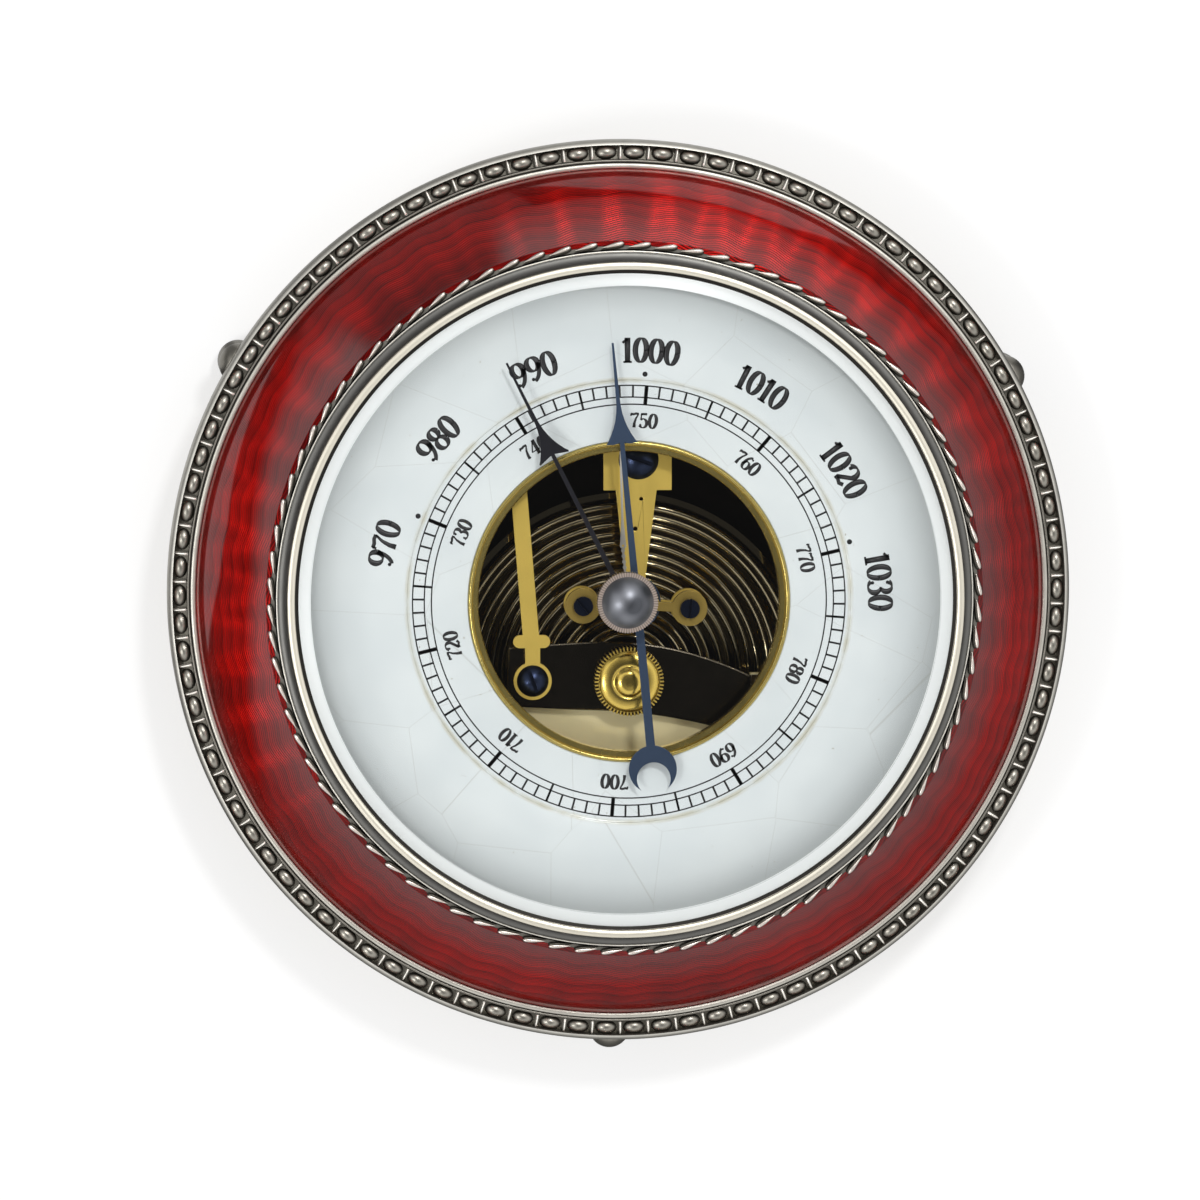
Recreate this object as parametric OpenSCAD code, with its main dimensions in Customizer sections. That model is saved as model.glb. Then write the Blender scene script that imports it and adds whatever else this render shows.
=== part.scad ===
// Desk barometer with an open-centre dial, seen and read from above.
// Origin: on the case's axis, at the table. +Z up out of the dial, +Y to 12 o'clock, +X to 3 o'clock.

/* [Case] */
// Outer diameter of the rim
rim_d = 140; // [138:0.5:146]
// Width of the rim's plain outer fillet
rim_fillet_w = 0.9; // [0.7:0.1:1.4]
// Width of the channel that holds the bead border
bead_w = 2.1; // [1.8:0.1:2.6]
// Width of the rim's inner double fillet
inner_fillet_w = 1.4; // [1.2:0.1:2]
// Height of the rim above the case's floor plate
rim_h = 3; // [2.6:0.1:4]
// Number of pearls in the bead border
bead_n = 98; // [80:1:104]
// Height of the feet
foot_h = 11; // [9.5:0.5:14]
// Diameter of a foot's ball
foot_d = 6.4; // [5:0.1:9]
// How far a foot stands out past the rim
foot_reach = 1.7; // [1:0.1:2.5]
// Height of the bezel's top above the table
case_h = 28.5; // [27.5:0.5:34]
// Clear diameter of the bezel
glass_open_d = 100.4; // [99:0.2:101]
// Width of the bezel's milled fillet
bezel_fillet_w = 1.4; // [1.2:0.1:1.8]
// Width of the bezel's hollow moulding
cavetto_w = 1.6; // [1.3:0.1:2]
// Width of the rope moulding
rope_w = 1.2; // [1:0.1:1.6]
// Number of turns in the rope moulding
rope_n = 84; // [70:1:92]
// How far the enamel ring bulges above a straight slope
enamel_crown = 1.3; // [0.6:0.1:2]
// Thickness of the enamel layer
enamel_t = 0.45; // [0.3:0.05:0.7]
// Thickness of the silver under the enamel
surround_t = 0.9; // [0.7:0.1:1.3]
// Outer diameter of the case's drum
drum_d = 102; // [101.6:0.1:102.4]
// Wall of the case's drum
drum_t = 1.2; // [0.9:0.1:1.6]
// Thickness of the case's floor plate
floor_t = 1.2; // [1:0.1:1.6]
// Diameter of the key hole in the back cover
key_hole_d = 6; // [5:0.5:8]

/* [Glass and dial] */
// Thickness of the glass
glass_t = 2.2; // [1.8:0.1:2.6]
// Width of the bevel at the glass's edge
bevel_w = 3; // [2:0.1:4]
// Depth of the bevel at the glass's edge
bevel_h = 0.9; // [0.6:0.1:1]
// Space between glass and dial
dial_gap = 2.9; // [2.7:0.1:3.6]
// Thickness of the dial
dial_t = 1.2; // [1:0.1:1.5]
// Diameter of the dial's open centre
dial_open_d = 49.6; // [48:0.2:51]
// Radial width of the brass ring in the opening
opening_ring_w = 1.6; // [1.2:0.1:2]
// Diameter of the dial's sunk centre
sunk_d = 68.4; // [66:0.2:72]
// Diameter of the set knob
knob_d = 9.4; // [8:0.2:11]
// Length of the pointer from its arbor to its tip
pointer_l = 41.2; // [38:0.1:42]
// Length of the set hand from its spindle to its tip
set_hand_l = 40.8; // [37:0.1:42]

/* [Movement] */
// How far the arbor sits to the right of the case's axis
arbor_x = 1.9; // [0:0.1:2.4]
// How far the arbor sits above the case's axis, towards 12 o'clock
arbor_y = -1.6; // [-2:0.1:0]
// Diameter of the vacuum capsule
capsule_d = 57; // [54:0.5:58]
// Radial distance between the capsule's corrugations
wave_pitch = 2.9; // [2.6:0.1:3.6]
// Height of the capsule's corrugations
wave_h = 1; // [0.6:0.1:1.2]
// Thickness of the mainspring leaf
spring_t = 0.7; // [0.5:0.1:0.9]
// Diameter of the knurled nut
nut_d = 10.8; // [9.6:0.2:11]
// Width of the main lever's strip
lever_w = 2.5; // [2:0.1:3]
// Thickness of the movement's brass plates
plate_t = 1; // [0.8:0.1:1.2]
// Diameter of the hairspring's wire
hair_d = 0.3; // [0.2:0.02:0.32]

/* [Hidden] */
$fn = 96;

// Clearances
seat_gap = 0.2;
run_gap = 0.05;
lift_gap = 0.3;
pass_gap = 0.3;

// Rim and floor of the case
rim_r = rim_d / 2;
floor_z = foot_h;
rim_z = floor_z + floor_t;
rim_top = rim_z + rim_h;
channel_floor = rim_z + 1.2;
seat_floor = rim_z + 1.4;
channel_out = rim_r - rim_fillet_w;
channel_in = channel_out - bead_w;
seat_r = channel_in - inner_fillet_w;
seat_w = 1.8;
floor_edge = 1.1;

// Bezel, rope and enamel, worked from the glass opening outwards
open_r = glass_open_d / 2;
bezel_z = case_h;
lip_w = 0.6;
lip_gap = 0.03;
fillet_in = open_r + lip_w;
fillet_out = fillet_in + bezel_fillet_w - 0.3;
cavetto_out = fillet_out + cavetto_w;
bezel_seat = bezel_z - 3.1;
skirt_in = open_r + 1.3;
skirt_t = 1;
skirt_low = bezel_z - 4.5;
rope_in = cavetto_out + 0.1;
rope_out = rope_in + rope_w;
enamel_low = [seat_r - seat_gap, rim_top + 0.1];
enamel_high = [rope_out + enamel_t * 0.7, bezel_seat];
arc_n = 18;

// Glass, spacer ring and dial
glass_top = bezel_z - 0.4;
glass_z = glass_top - glass_t;
glass_r = skirt_in - 0.15;
dial_z = glass_z - dial_gap;
dial_low = dial_z - dial_t;
drum_r = drum_d / 2;
drum_in = drum_r - drum_t;
dial_r = drum_r;
sunk_h = 0.35;
dial_x = 0.7;
dial_y = -0.5;

// Movement plates and levels
drum_low = 3.2;
cover_t = 1;
cover_z = drum_low - seat_gap - cover_t;
cover_side = 5;
plate_low = drum_low + 1.2;
base_t = 1.4;
plate_top = plate_low + base_t;
ledge_t = 1;
ledge_w = 5;
ledge_in = drum_in - ledge_w;
base_r = drum_in - 0.3;
cock_top = dial_low - 3.8;
cock_low = cock_top - plate_t;
ear_low = cock_low - 0.8;
lower_top = ear_low - 2.8;
lower_low = lower_top - 0.8;
spring_top = cock_low + 0.1;
spring_low = spring_top - spring_t;
lever_low = spring_top + 0.9;
lever_t = 0.7;
link_z = cock_top + 2;
pointer_t = 0.25;
hand_z = glass_z - 0.8;
pointer_z = hand_z - 1;

// Arbor, drum and chain
arbor_r = 0.6;
arbor_low = lower_low + 0.3;
drum_groove_r = 0.78;
chain_w = 0.6;
chain_r = drum_groove_r + chain_w / 2 + 0.02;
chain_pitch = 0.8;
chain_plate = 0.2;
eye_x = -0.05;
eye_y = 7.9;

// Capsule
cap_x = 1;
cap_y = -13.3;
cap_r = capsule_d / 2;
cap_boss_r = 5;
sheet_t = 0.3;
cap_base_z = plate_top + 0.9;
cap_half = 1.6;
cap_mid = cap_base_z + sheet_t + wave_h / 2 + cap_half;
wave_from = cap_boss_r + 1.2;
wave_to = cap_r - 3;
wave_n = floor((wave_to - wave_from) / wave_pitch);
wave_steps = 8;
cap_top_z = cap_mid + cap_half + sheet_t;
post_r = 1.8;
post_top = spring_top + 1.5;
screw_r = 2;

// Mainspring, bridge and clamp
clamp_x = 20;
clamp_w = 8;
spring_left = -17.6;
spring_right = clamp_x + clamp_w;
bridge_top = spring_low - 1.2;
bridge_t = 1.2;
bridge_y0 = -26.5;
bridge_y1 = -17;
bridge_leg_gap = 1.5;
bridge_leg_x = cap_x + cap_r + bridge_leg_gap;
bridge_leg_t = 2.5;
bridge_foot_w = 4.2;
bridge_foot_y0 = -22.8;
bridge_foot_t = 1.4;

// Main lever and regulating shaft
lever_x = -13.9;
lever_y = -13.1;
lever_lean = -0.079;
shaft_y = 28.5;
shaft_z = plate_top + 6.2;
shaft_r = 1;
pivot_r = 0.5;
crank_l = 2.2;
cheek_t = 1.2;
cheek_left = -22.5;
cheek_right = 5;
arm_x = -0.6;
arm_top = dial_low - 0.6;
lever_end_y = shaft_y + crank_l;
lever_end_x = lever_x + lever_lean * (lever_end_y - lever_y) * 0.95;

// Cock
cock_pillar_x = 2.5;
cock_pillar_y = 21;
cock_pillar_r = 2.6;
left_ear = [-6, -1.7];
right_ear = [10.5, -2.2];
ear_r = 2.75;
ear_pillar_r = 1.3;

// Height of the glass's bevel at radius r
function bevel_z(r) = glass_top - bevel_h * (1 - (glass_r - r) / bevel_w);

// Points on an arc from p to q that bulges by s to the upper right, moved outwards by d
function arc_pts(p, q, s, n, d) =
    let (m = (p + q) / 2)
    let (v = q - p)
    let (len = norm(v))
    let (nrm = [v[1], -v[0]] / len)
    let (r = (len * len / 4 + s * s) / (2 * s))
    let (c = m - nrm * (r - s))
    let (a0 = atan2(p[1] - c[1], p[0] - c[0]))
    let (a1 = atan2(q[1] - c[1], q[0] - c[0]))
    [for (i = [0:n]) let (a = a0 + (a1 - a0) * i / n) c + (r + d) * [cos(a), sin(a)]];

function reversed(list) = [for (i = [len(list) - 1:-1:0]) list[i]];

// Points on a circle, from angle a0 to a1
function circle_pts(c, r, a0, a1, n) =
    [for (i = [0:n]) let (a = a0 + (a1 - a0) * i / n) [c[0] + r * cos(a), c[1] + r * sin(a)]];

module at_arbor() {
    translate([arbor_x, arbor_y, 0]) children();
}

module at_capsule() {
    translate([cap_x, cap_y, 0]) children();
}

// Flat pieces of one thickness, joined
module slab(h) {
    union() {
        for (i = [0:$children - 1]) linear_extrude(h) children(i);
    }
}

// Cylinder from one height to another
module post(x, y, z0, z1, r) {
    translate([x, y, z0]) cylinder(h = z1 - z0, r = r);
}

// Half of a round-ended pearl, flat side down, its axis along Y
module pearl(half_l, r) {
    rotate([90, 0, 0]) rotate_extrude(angle = 180, $fn = 36) union() {
        translate([0, r - half_l]) square([r, 2 * (half_l - r)]);
        intersection() {
            translate([0, half_l - r]) circle(r = r, $fn = 48);
            square([r + 1, half_l + 1]);
        }
        intersection() {
            translate([0, r - half_l]) circle(r = r, $fn = 48);
            translate([0, -half_l - 1]) square([r + 1, half_l + 1]);
        }
    }
}

// Slotted screw with a domed head, seated at z, its shank going down
module dome_screw(x, y, z, head_r, head_h, shank_r, shank_l, turn) {
    dome_r = (head_r * head_r + head_h * head_h) / (2 * head_h);
    translate([x, y, z]) difference() {
        union() {
            intersection() {
                cylinder(h = head_h, r = head_r);
                translate([0, 0, head_h - dome_r]) sphere(r = dome_r);
            }
            translate([0, 0, -shank_l]) cylinder(h = shank_l + 0.1, r = shank_r);
        }
        rotate([0, 0, turn])
            translate([-head_r, -head_r * 0.11, head_h * 0.55])
            cube([2 * head_r, head_r * 0.22, head_h]);
    }
}

// Slotted screw with a flat head, seated at z, its shank going down
module flat_screw(x, y, z, head_r, head_h, shank_r, shank_l, turn) {
    translate([x, y, z]) difference() {
        union() {
            cylinder(h = head_h, r = head_r);
            translate([0, 0, -shank_l]) cylinder(h = shank_l + 0.1, r = shank_r);
        }
        rotate([0, 0, turn])
            translate([-head_r, -head_r * 0.12, head_h * 0.5])
            cube([2 * head_r, head_r * 0.24, head_h]);
    }
}

module rim() {
    fillet_c = [rim_r - rim_fillet_w / 2, rim_top - rim_fillet_w / 2];
    step = inner_fillet_w / 2;
    profile = concat(
        [[seat_r - seat_w, rim_z], [rim_r - floor_edge + 0.2, rim_z]],
        [[rim_r - floor_edge + 0.2, rim_z - 0.6], [rim_r - 0.3, rim_z - 0.7], [rim_r, rim_z - 0.3]],
        circle_pts(fillet_c, rim_fillet_w / 2, 0, 180, 8),
        [[channel_out, channel_floor], [channel_in, channel_floor]],
        circle_pts([channel_in - step / 2, rim_top - step / 2 - 0.1], step / 2, 0, 180, 6),
        circle_pts([seat_r + step / 2, rim_top - step / 2 + 0.1], step / 2, 0, 180, 6),
        [[seat_r, seat_floor], [seat_r - seat_w, seat_floor]]
    );
    color("darkgray") rotate_extrude() polygon(profile);
}

bead_r = channel_out - bead_w / 2;
bead_arc = 2 * PI * bead_r / bead_n;
bar_w = 0.55;

module bead_border() {
    pearl_r = min(bead_w / 2 - 0.2, rim_h - 1.2 - 0.4);
    color("silver")
        for (i = [0:bead_n - 1])
            rotate([0, 0, i * 360 / bead_n])
                translate([bead_r, 0, channel_floor])
                pearl((bead_arc - bar_w) / 2 - 0.1, pearl_r);
}

// A ladder of bars between two thin rails, with a window for each pearl
module bead_frame() {
    rail = 0.14;
    out_r = channel_out - 0.04;
    in_r = channel_in + 0.04;
    pitch = 360 / bead_n;
    half_window = asin((bead_arc - bar_w) / 2 / bead_r);
    outer = [for (i = [0:bead_n - 1]) out_r * [cos((i + 0.5) * pitch), sin((i + 0.5) * pitch)]];
    inner = [for (i = [0:bead_n - 1]) in_r * [cos((i + 0.5) * pitch), sin((i + 0.5) * pitch)]];
    corners = [for (i = [0:bead_n - 1]) each [
        for (c = [[-1, out_r - rail], [1, out_r - rail], [1, in_r + rail], [-1, in_r + rail]])
            c[1] * [cos(i * pitch + c[0] * half_window), sin(i * pitch + c[0] * half_window)]
    ]];
    paths = concat(
        [[for (i = [0:bead_n - 1]) i]],
        [[for (i = [0:bead_n - 1]) bead_n + i]],
        [for (w = [0:bead_n - 1]) [for (k = [0:3]) 2 * bead_n + 4 * w + k]]
    );
    color("silver") translate([0, 0, channel_floor])
        linear_extrude(rim_h - 1.2 - 0.5) polygon(concat(outer, inner, corners), paths);
}

module surround() {
    top = arc_pts(enamel_low, enamel_high, enamel_crown, arc_n, -enamel_t);
    low = arc_pts(enamel_low, enamel_high, enamel_crown, arc_n, -enamel_t - surround_t);
    ledge_out = top[arc_n][0];
    profile = concat(
        top,
        [[ledge_out, bezel_seat], [skirt_in + skirt_t + seat_gap, bezel_seat]],
        [[skirt_in + skirt_t + seat_gap, bezel_seat - surround_t]],
        [[low[arc_n][0] - 0.4, bezel_seat - surround_t - 0.4]],
        reversed(low),
        [[seat_r - seat_w * 0.8, seat_floor], [seat_r - seat_gap * 0.7, seat_floor]],
        [[seat_r - seat_gap * 0.7, top[0][1] - 0.05]]
    );
    color("gainsboro") rotate_extrude() polygon(profile);
}

module enamel() {
    top = arc_pts(enamel_low, enamel_high, enamel_crown, arc_n, 0);
    low = arc_pts(enamel_low, enamel_high, enamel_crown, arc_n, -enamel_t);
    color("firebrick") rotate_extrude() polygon(concat(top, reversed(low)));
}

module rope_border() {
    mid_r = (rope_in + rope_out) / 2;
    half_l = PI * mid_r / rope_n;
    lobe_slant = 12;
    color("lightgray")
        for (i = [0:rope_n - 1])
            rotate([0, 0, (i + 0.5) * 360 / rope_n])
                translate([mid_r, 0, bezel_seat])
                rotate([0, 0, lobe_slant])
                pearl(half_l - 0.04, rope_w / 2 - 0.14);
}

module bezel() {
    hollow_r = cavetto_w * 0.95;
    hollow = circle_pts([cavetto_out, bezel_z - 0.4], hollow_r, 260, 190, 8);
    fillet_mid = (fillet_in + fillet_out) / 2;
    fillet_half = (fillet_out - fillet_in) / 2;
    crest = circle_pts([fillet_mid, bezel_z - fillet_half], fillet_half, 0, 180, 8);
    profile = concat(
        [[cavetto_out, bezel_seat], [cavetto_out, bezel_z - 0.4 - hollow_r - 0.05]],
        hollow,
        crest,
        [[open_r, glass_top - 0.2], [open_r, bevel_z(open_r) + lip_gap]],
        [[skirt_in, bevel_z(skirt_in) + lip_gap]],
        [[skirt_in, skirt_low], [skirt_in + skirt_t, skirt_low], [skirt_in + skirt_t, bezel_seat]]
    );
    color("silver") rotate_extrude() polygon(profile);
}

bush_r = 1.6;
spindle_r = 1;

module glass() {
    profile = [
        [bush_r + 0.05, glass_z], [glass_r, glass_z], [glass_r, glass_top - bevel_h],
        [glass_r - bevel_w, glass_top], [bush_r + 0.05, glass_top]
    ];
    color("azure", 0.35) rotate_extrude() polygon(profile);
}

module glass_ring() {
    ring_in = open_r + 0.1;
    color("silver") translate([0, 0, dial_z]) difference() {
        cylinder(h = dial_gap, r = glass_r);
        translate([0, 0, -1]) cylinder(h = dial_gap + 2, r = ring_in);
    }
}

stud_r = 1.25;
stud_at = rim_r - 8.5;
foot_at = rim_r + foot_reach - foot_d / 2;
foot_angles = [28.8, 148.8, 268.8];

module case_body() {
    profile = [
        [drum_in, drum_low], [drum_r, drum_low], [drum_r, floor_z], [rim_r - floor_edge, floor_z],
        [rim_r - floor_edge, rim_z], [drum_r, rim_z], [drum_r, dial_low], [drum_in, dial_low],
        [drum_in, plate_top + ledge_t], [ledge_in, plate_top + ledge_t], [ledge_in, plate_top],
        [drum_in, plate_top]
    ];
    color("goldenrod") difference() {
        rotate_extrude() polygon(profile);
        for (a = foot_angles)
            rotate([0, 0, a]) post(stud_at, 0, floor_z - 1, rim_z + 1, stud_r + 0.1);
        for (a = base_screw_angles)
            rotate([0, 0, a])
                post(base_screw_at, 0, plate_top - 1, plate_top + ledge_t + 1, base_screw_r + 0.02);
    }
}

module back_cover() {
    side_in = drum_r + 0.1;
    side_out = side_in + cover_t;
    profile = [
        [0, cover_z], [side_out - 0.6, cover_z], [side_out, cover_z + 0.6],
        [side_out, cover_z + cover_side + 0.3], [side_out + 0.4, cover_z + cover_side + 0.5],
        [side_out + 0.4, cover_z + cover_side + 1.1], [side_in, cover_z + cover_side + 1.1],
        [side_in, cover_z + cover_t], [0, cover_z + cover_t]
    ];
    color("darkgoldenrod") difference() {
        rotate_extrude() polygon(profile);
        post(cap_x, cap_y, cover_z - 1, cover_z + cover_t + 1, key_hole_d / 2);
    }
}

// Outline of a foot's bracket, a bell-shaped swelling of the rim's edge
module bracket_outline() {
    half_w = foot_d * 0.62;
    edge = [for (i = [-8:8])
        let (s = half_w * i / 8)
        let (r = rim_r - 0.35 + (foot_reach * 0.6 + 0.35) * (1 + cos(180 * i / 8)) / 2)
        [r * cos(s / rim_r * 180 / PI), r * sin(s / rim_r * 180 / PI)]];
    inner = circle_pts([stud_at, 0], 2.6, 130, 230, 6);
    polygon(concat(edge, inner));
}

// Each foot is turned: a pad, a neck, and a ball that shows beside the rim
module feet() {
    bracket_t = 1.6;
    r = foot_d / 2;
    bracket_z = floor_z - bracket_t;
    ball_z = floor_z - 0.4;
    neck_r = r * 0.52;
    neck_z = ball_z - sqrt(r * r - neck_r * neck_r);
    pad_h = neck_z - 0.8;
    pad = [
        [0, 0], [r * 0.6, 0], [r * 0.84, pad_h * 0.08], [r * 0.97, pad_h * 0.24], [r, pad_h * 0.42],
        [r * 0.95, pad_h * 0.6], [r * 0.8, pad_h * 0.78], [neck_r, pad_h]
    ];
    bun = concat(pad, circle_pts([0, ball_z], r, -asin((ball_z - neck_z) / r), 90, 14));
    color("silver") for (a = foot_angles) rotate([0, 0, a]) union() {
        difference() {
            translate([foot_at, 0, 0]) rotate_extrude($fn = 64) polygon(bun);
            translate([0, 0, floor_z - 0.02]) cylinder(h = 5, r = rim_r + 0.03);
        }
        translate([0, 0, bracket_z]) linear_extrude(bracket_t - 0.02) bracket_outline();
        post(stud_at, 0, floor_z - 0.1, rim_z + 2.2, stud_r);
    }
}

module foot_nuts() {
    color("goldenrod") for (a = foot_angles) rotate([0, 0, a])
        translate([stud_at, 0, rim_z]) difference() {
            rotate([0, 0, 30]) cylinder(h = 1.4, r = 2.45, $fn = 6);
            translate([0, 0, -1]) cylinder(h = 4, r = stud_r + 0.02);
        }
}

post_angles = [90, 190, 350];
post_at = 42.5;

module dial() {
    open = dial_open_d / 2;
    sunk = sunk_d / 2;
    color("white") difference() {
        union() {
            translate([0, 0, dial_low]) cylinder(h = dial_t - 0.3, r = dial_r);
            translate([0, 0, dial_z - 0.31]) cylinder(h = 0.31, r1 = dial_r, r2 = dial_r - 0.3);
        }
        translate([dial_x, dial_y, dial_z - sunk_h])
            cylinder(h = sunk_h + 0.1, r1 = sunk - 0.25, r2 = sunk + 0.1);
        translate([dial_x, dial_y, dial_low - 1]) cylinder(h = dial_t + 2, r = open);
    }
}

module opening_ring() {
    r_out = dial_open_d / 2 - 0.03;
    r_in = r_out - opening_ring_w;
    top = dial_z - sunk_h + 0.2;
    low = dial_low - 1.2;
    profile = [
        [r_in, low], [r_in + 0.5, low], [r_in + 0.5, low + 0.6], [r_out + 1.2, dial_low - 0.7],
        [r_out + 1.2, dial_low], [r_out, dial_low], [r_out, top - 0.1], [r_out - 0.1, top],
        [r_out - 0.6, top], [r_out - 0.7, top - 0.25], [r_in + 0.1, top - 0.25], [r_in, top - 0.35]
    ];
    color("gold") translate([dial_x, dial_y, 0]) rotate_extrude() polygon(profile);
}

module dial_posts() {
    color("goldenrod") for (a = post_angles) rotate([0, 0, a]) union() {
        post(post_at, 0, plate_top, dial_low, 1.6);
        post(post_at, 0, plate_top, plate_top + 1, 2.1);
        post(post_at, 0, dial_low - 1, dial_low, 2.1);
    }
}

// A hand's outline lies along +X and is turned to its reading
pointer_turn = 95.4;
set_hand_turn = 116.6;
crescent_at = 24.8;
crescent_r = 3.7;
crescent_in = 2.6;
head_at = 25.6;
head_half = 2.45;

hub_hole_r = 1;

// Flare of an arrowhead: half-width falls from w to the needle's, from x0 to x1
function flare(x0, x1, w, needle, power, side) =
    [for (i = [0:6]) let (t = i / 6) [x0 + (x1 - x0) * t, side * (needle + w * pow(1 - t, power))]];

module pointer() {
    needle = 0.3;
    neck_at = head_at + 7;
    color("midnightblue") at_arbor() translate([0, 0, pointer_z])
        rotate([0, 0, pointer_turn]) difference() {
        slab(pointer_t) {
            polygon([
                [0, -0.62], [-crescent_at, -0.7], [-crescent_at, 0.7], [0, 0.62],
                [head_at + 0.9, 0.34], [head_at + 0.9, -0.34]
            ]);
            polygon(concat(
                [[head_at + 0.35, 0], [head_at, head_half * 0.5], [head_at + 0.1, head_half]],
                flare(head_at + 0.35, neck_at, head_half - 0.55, needle, 2.2, 1),
                [[pointer_l, 0.16], [pointer_l, -0.16]],
                reversed(flare(head_at + 0.35, neck_at, head_half - 0.55, needle, 2.2, -1)),
                [[head_at + 0.1, -head_half], [head_at, -head_half * 0.5]]
            ));
            translate([-crescent_at, 0]) circle(r = crescent_r);
            circle(r = 1.9);
        }
        translate([-crescent_at - 1.5, 0, -1]) cylinder(h = 3, r = crescent_in);
        translate([0, 0, -1]) cylinder(h = 3, r = hub_hole_r + 0.02);
    }
}

module pointer_hub() {
    color("goldenrod") at_arbor() difference() {
        union() {
            translate([0, 0, pointer_z - 0.7]) cylinder(h = 0.7, r = 1.6);
            translate([0, 0, pointer_z - 0.1]) cylinder(h = pointer_t + 0.3, r = hub_hole_r);
            translate([0, 0, pointer_z + pointer_t]) cylinder(h = 0.2, r = hub_hole_r + 0.2);
        }
        translate([0, 0, pointer_z - 1]) cylinder(h = 2, r = arbor_r + 0.01);
    }
}

barb_at = 25.15;
barb_half = 2.45;
hub_hand_r = 1.8;

module set_hand() {
    neck_at = barb_at + 6.3;
    needle = 0.27;
    color("dimgray") translate([0, 0, hand_z]) rotate([0, 0, set_hand_turn]) difference() {
        slab(pointer_t) {
            polygon([[0, -0.42], [barb_at + 1, -0.3], [barb_at + 1, 0.3], [0, 0.42]]);
            polygon(concat(
                [[barb_at, 0], [barb_at - 0.75, barb_half], [barb_at - 0.5, barb_half + 0.06]],
                flare(barb_at - 0.1, neck_at, barb_half - 0.57, needle, 2.2, 1),
                [[set_hand_l, 0.17], [set_hand_l, -0.17]],
                reversed(flare(barb_at - 0.1, neck_at, barb_half - 0.57, needle, 2.2, -1)),
                [[barb_at - 0.5, -barb_half - 0.06], [barb_at - 0.75, -barb_half]]
            ));
            circle(r = hub_hand_r);
        }
        translate([0, 0, -1]) cylinder(h = 3, r = spindle_r + 0.02);
    }
}

knob_gap = 0.3;
knob_rim_h = 1.6;
knob_dome_h = 2.2;
knob_low = glass_top + knob_gap;

module set_spindle() {
    color("goldenrod") union() {
        post(0, 0, hand_z - 0.2, knob_low + 1, spindle_r);
        difference() {
            post(0, 0, hand_z + pointer_t, hand_z + pointer_t + 0.2, hub_hand_r);
            post(0, 0, hand_z, hand_z + 2, spindle_r - 0.1);
        }
        difference() {
            post(0, 0, hand_z - 0.2, hand_z, hub_hand_r - 0.5);
            post(0, 0, hand_z - 1, hand_z + 1, spindle_r - 0.1);
        }
    }
}

module set_bush() {
    color("gold") difference() {
        union() {
            post(0, 0, glass_z - 0.05, glass_top + 0.2, bush_r);
            post(0, 0, glass_z - 0.2, glass_z, bush_r + 0.5);
        }
        post(0, 0, glass_z - 1, glass_top + 1, spindle_r + run_gap);
    }
}

module set_knob() {
    r = knob_d / 2;
    dome_base = r * 0.84;
    teeth = 72;
    dome_z = knob_low + knob_rim_h;
    ball_r = (dome_base * dome_base + knob_dome_h * knob_dome_h) / (2 * knob_dome_h);
    color("slategray") difference() {
        union() {
            translate([0, 0, knob_low]) linear_extrude(knob_rim_h)
                polygon([for (i = [0:2 * teeth - 1]) let (a = 180 * i / teeth)
                    (r - (i % 2) * 0.16) * [cos(a), sin(a)]]);
            intersection() {
                translate([0, 0, dome_z - 0.05]) cylinder(h = knob_dome_h + 0.1, r = dome_base);
                translate([0, 0, dome_z + knob_dome_h - ball_r]) sphere(r = ball_r);
            }
        }
        post(0, 0, knob_low - 1, knob_low + 1, spindle_r + 0.01);
        difference() {
            post(0, 0, knob_low - 1, knob_low + 0.4, r - 0.7);
            post(0, 0, knob_low - 2, knob_low + 1, 2);
        }
    }
}

base_screw_angles = [0, 120, 240];
base_screw_at = base_r - 2;
base_screw_r = 1;

module base_plate() {
    color("goldenrod") difference() {
        translate([0, 0, plate_low]) cylinder(h = base_t, r = base_r);
        post(cap_x, cap_y, plate_low - 1, plate_top + 1, screw_r + run_gap);
        for (a = base_screw_angles)
            rotate([0, 0, a]) post(base_screw_at, 0, plate_low - 1, plate_top + 1, base_screw_r + 0.05);
    }
}

module base_screws() {
    head_h = 0.8;
    color("goldenrod") for (a = base_screw_angles) rotate([0, 0, a])
        translate([base_screw_at, 0, plate_low - head_h]) difference() {
            union() {
                cylinder(h = head_h, r = base_screw_r * 1.8);
                cylinder(h = head_h + base_t + ledge_t, r = base_screw_r);
            }
            translate([-3, -0.25, -0.1]) cube([6, 0.5, 0.5]);
        }
}

// Height of a corrugated sheet above its rim plane, at radius r
function wave_z(r) =
    r < wave_from ? cap_half :
    r < wave_from + wave_n * wave_pitch
        ? cap_half + wave_h / 2 * (cos((r - wave_from) / wave_pitch * 360) - 1) :
    let (t = (r - wave_from - wave_n * wave_pitch) / (cap_r - 1 - wave_from - wave_n * wave_pitch))
    cap_half * (t < 1 ? 1 - pow(t, 3) : 0);

module corrugated_half() {
    wave_end = wave_from + wave_n * wave_pitch;
    radii = concat(
        [cap_boss_r],
        [for (i = [0:wave_n * wave_steps]) wave_from + i * wave_pitch / wave_steps],
        [for (i = [1:4]) wave_end + (cap_r - 1 - wave_end) * i / 4],
        [cap_r]
    );
    top = [for (r = radii) [r, wave_z(r) + sheet_t]];
    low = [for (r = radii) [r, wave_z(r)]];
    rotate_extrude() polygon(concat(top, reversed(low)));
}

module capsule_top() {
    color("dimgray") at_capsule() union() {
        translate([0, 0, cap_mid]) corrugated_half();
        translate([0, 0, cap_mid + cap_half]) difference() {
            cylinder(h = sheet_t, r = cap_boss_r + 0.1);
            translate([0, 0, -1]) cylinder(h = 3, r = post_r + pass_gap);
        }
    }
}

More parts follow.
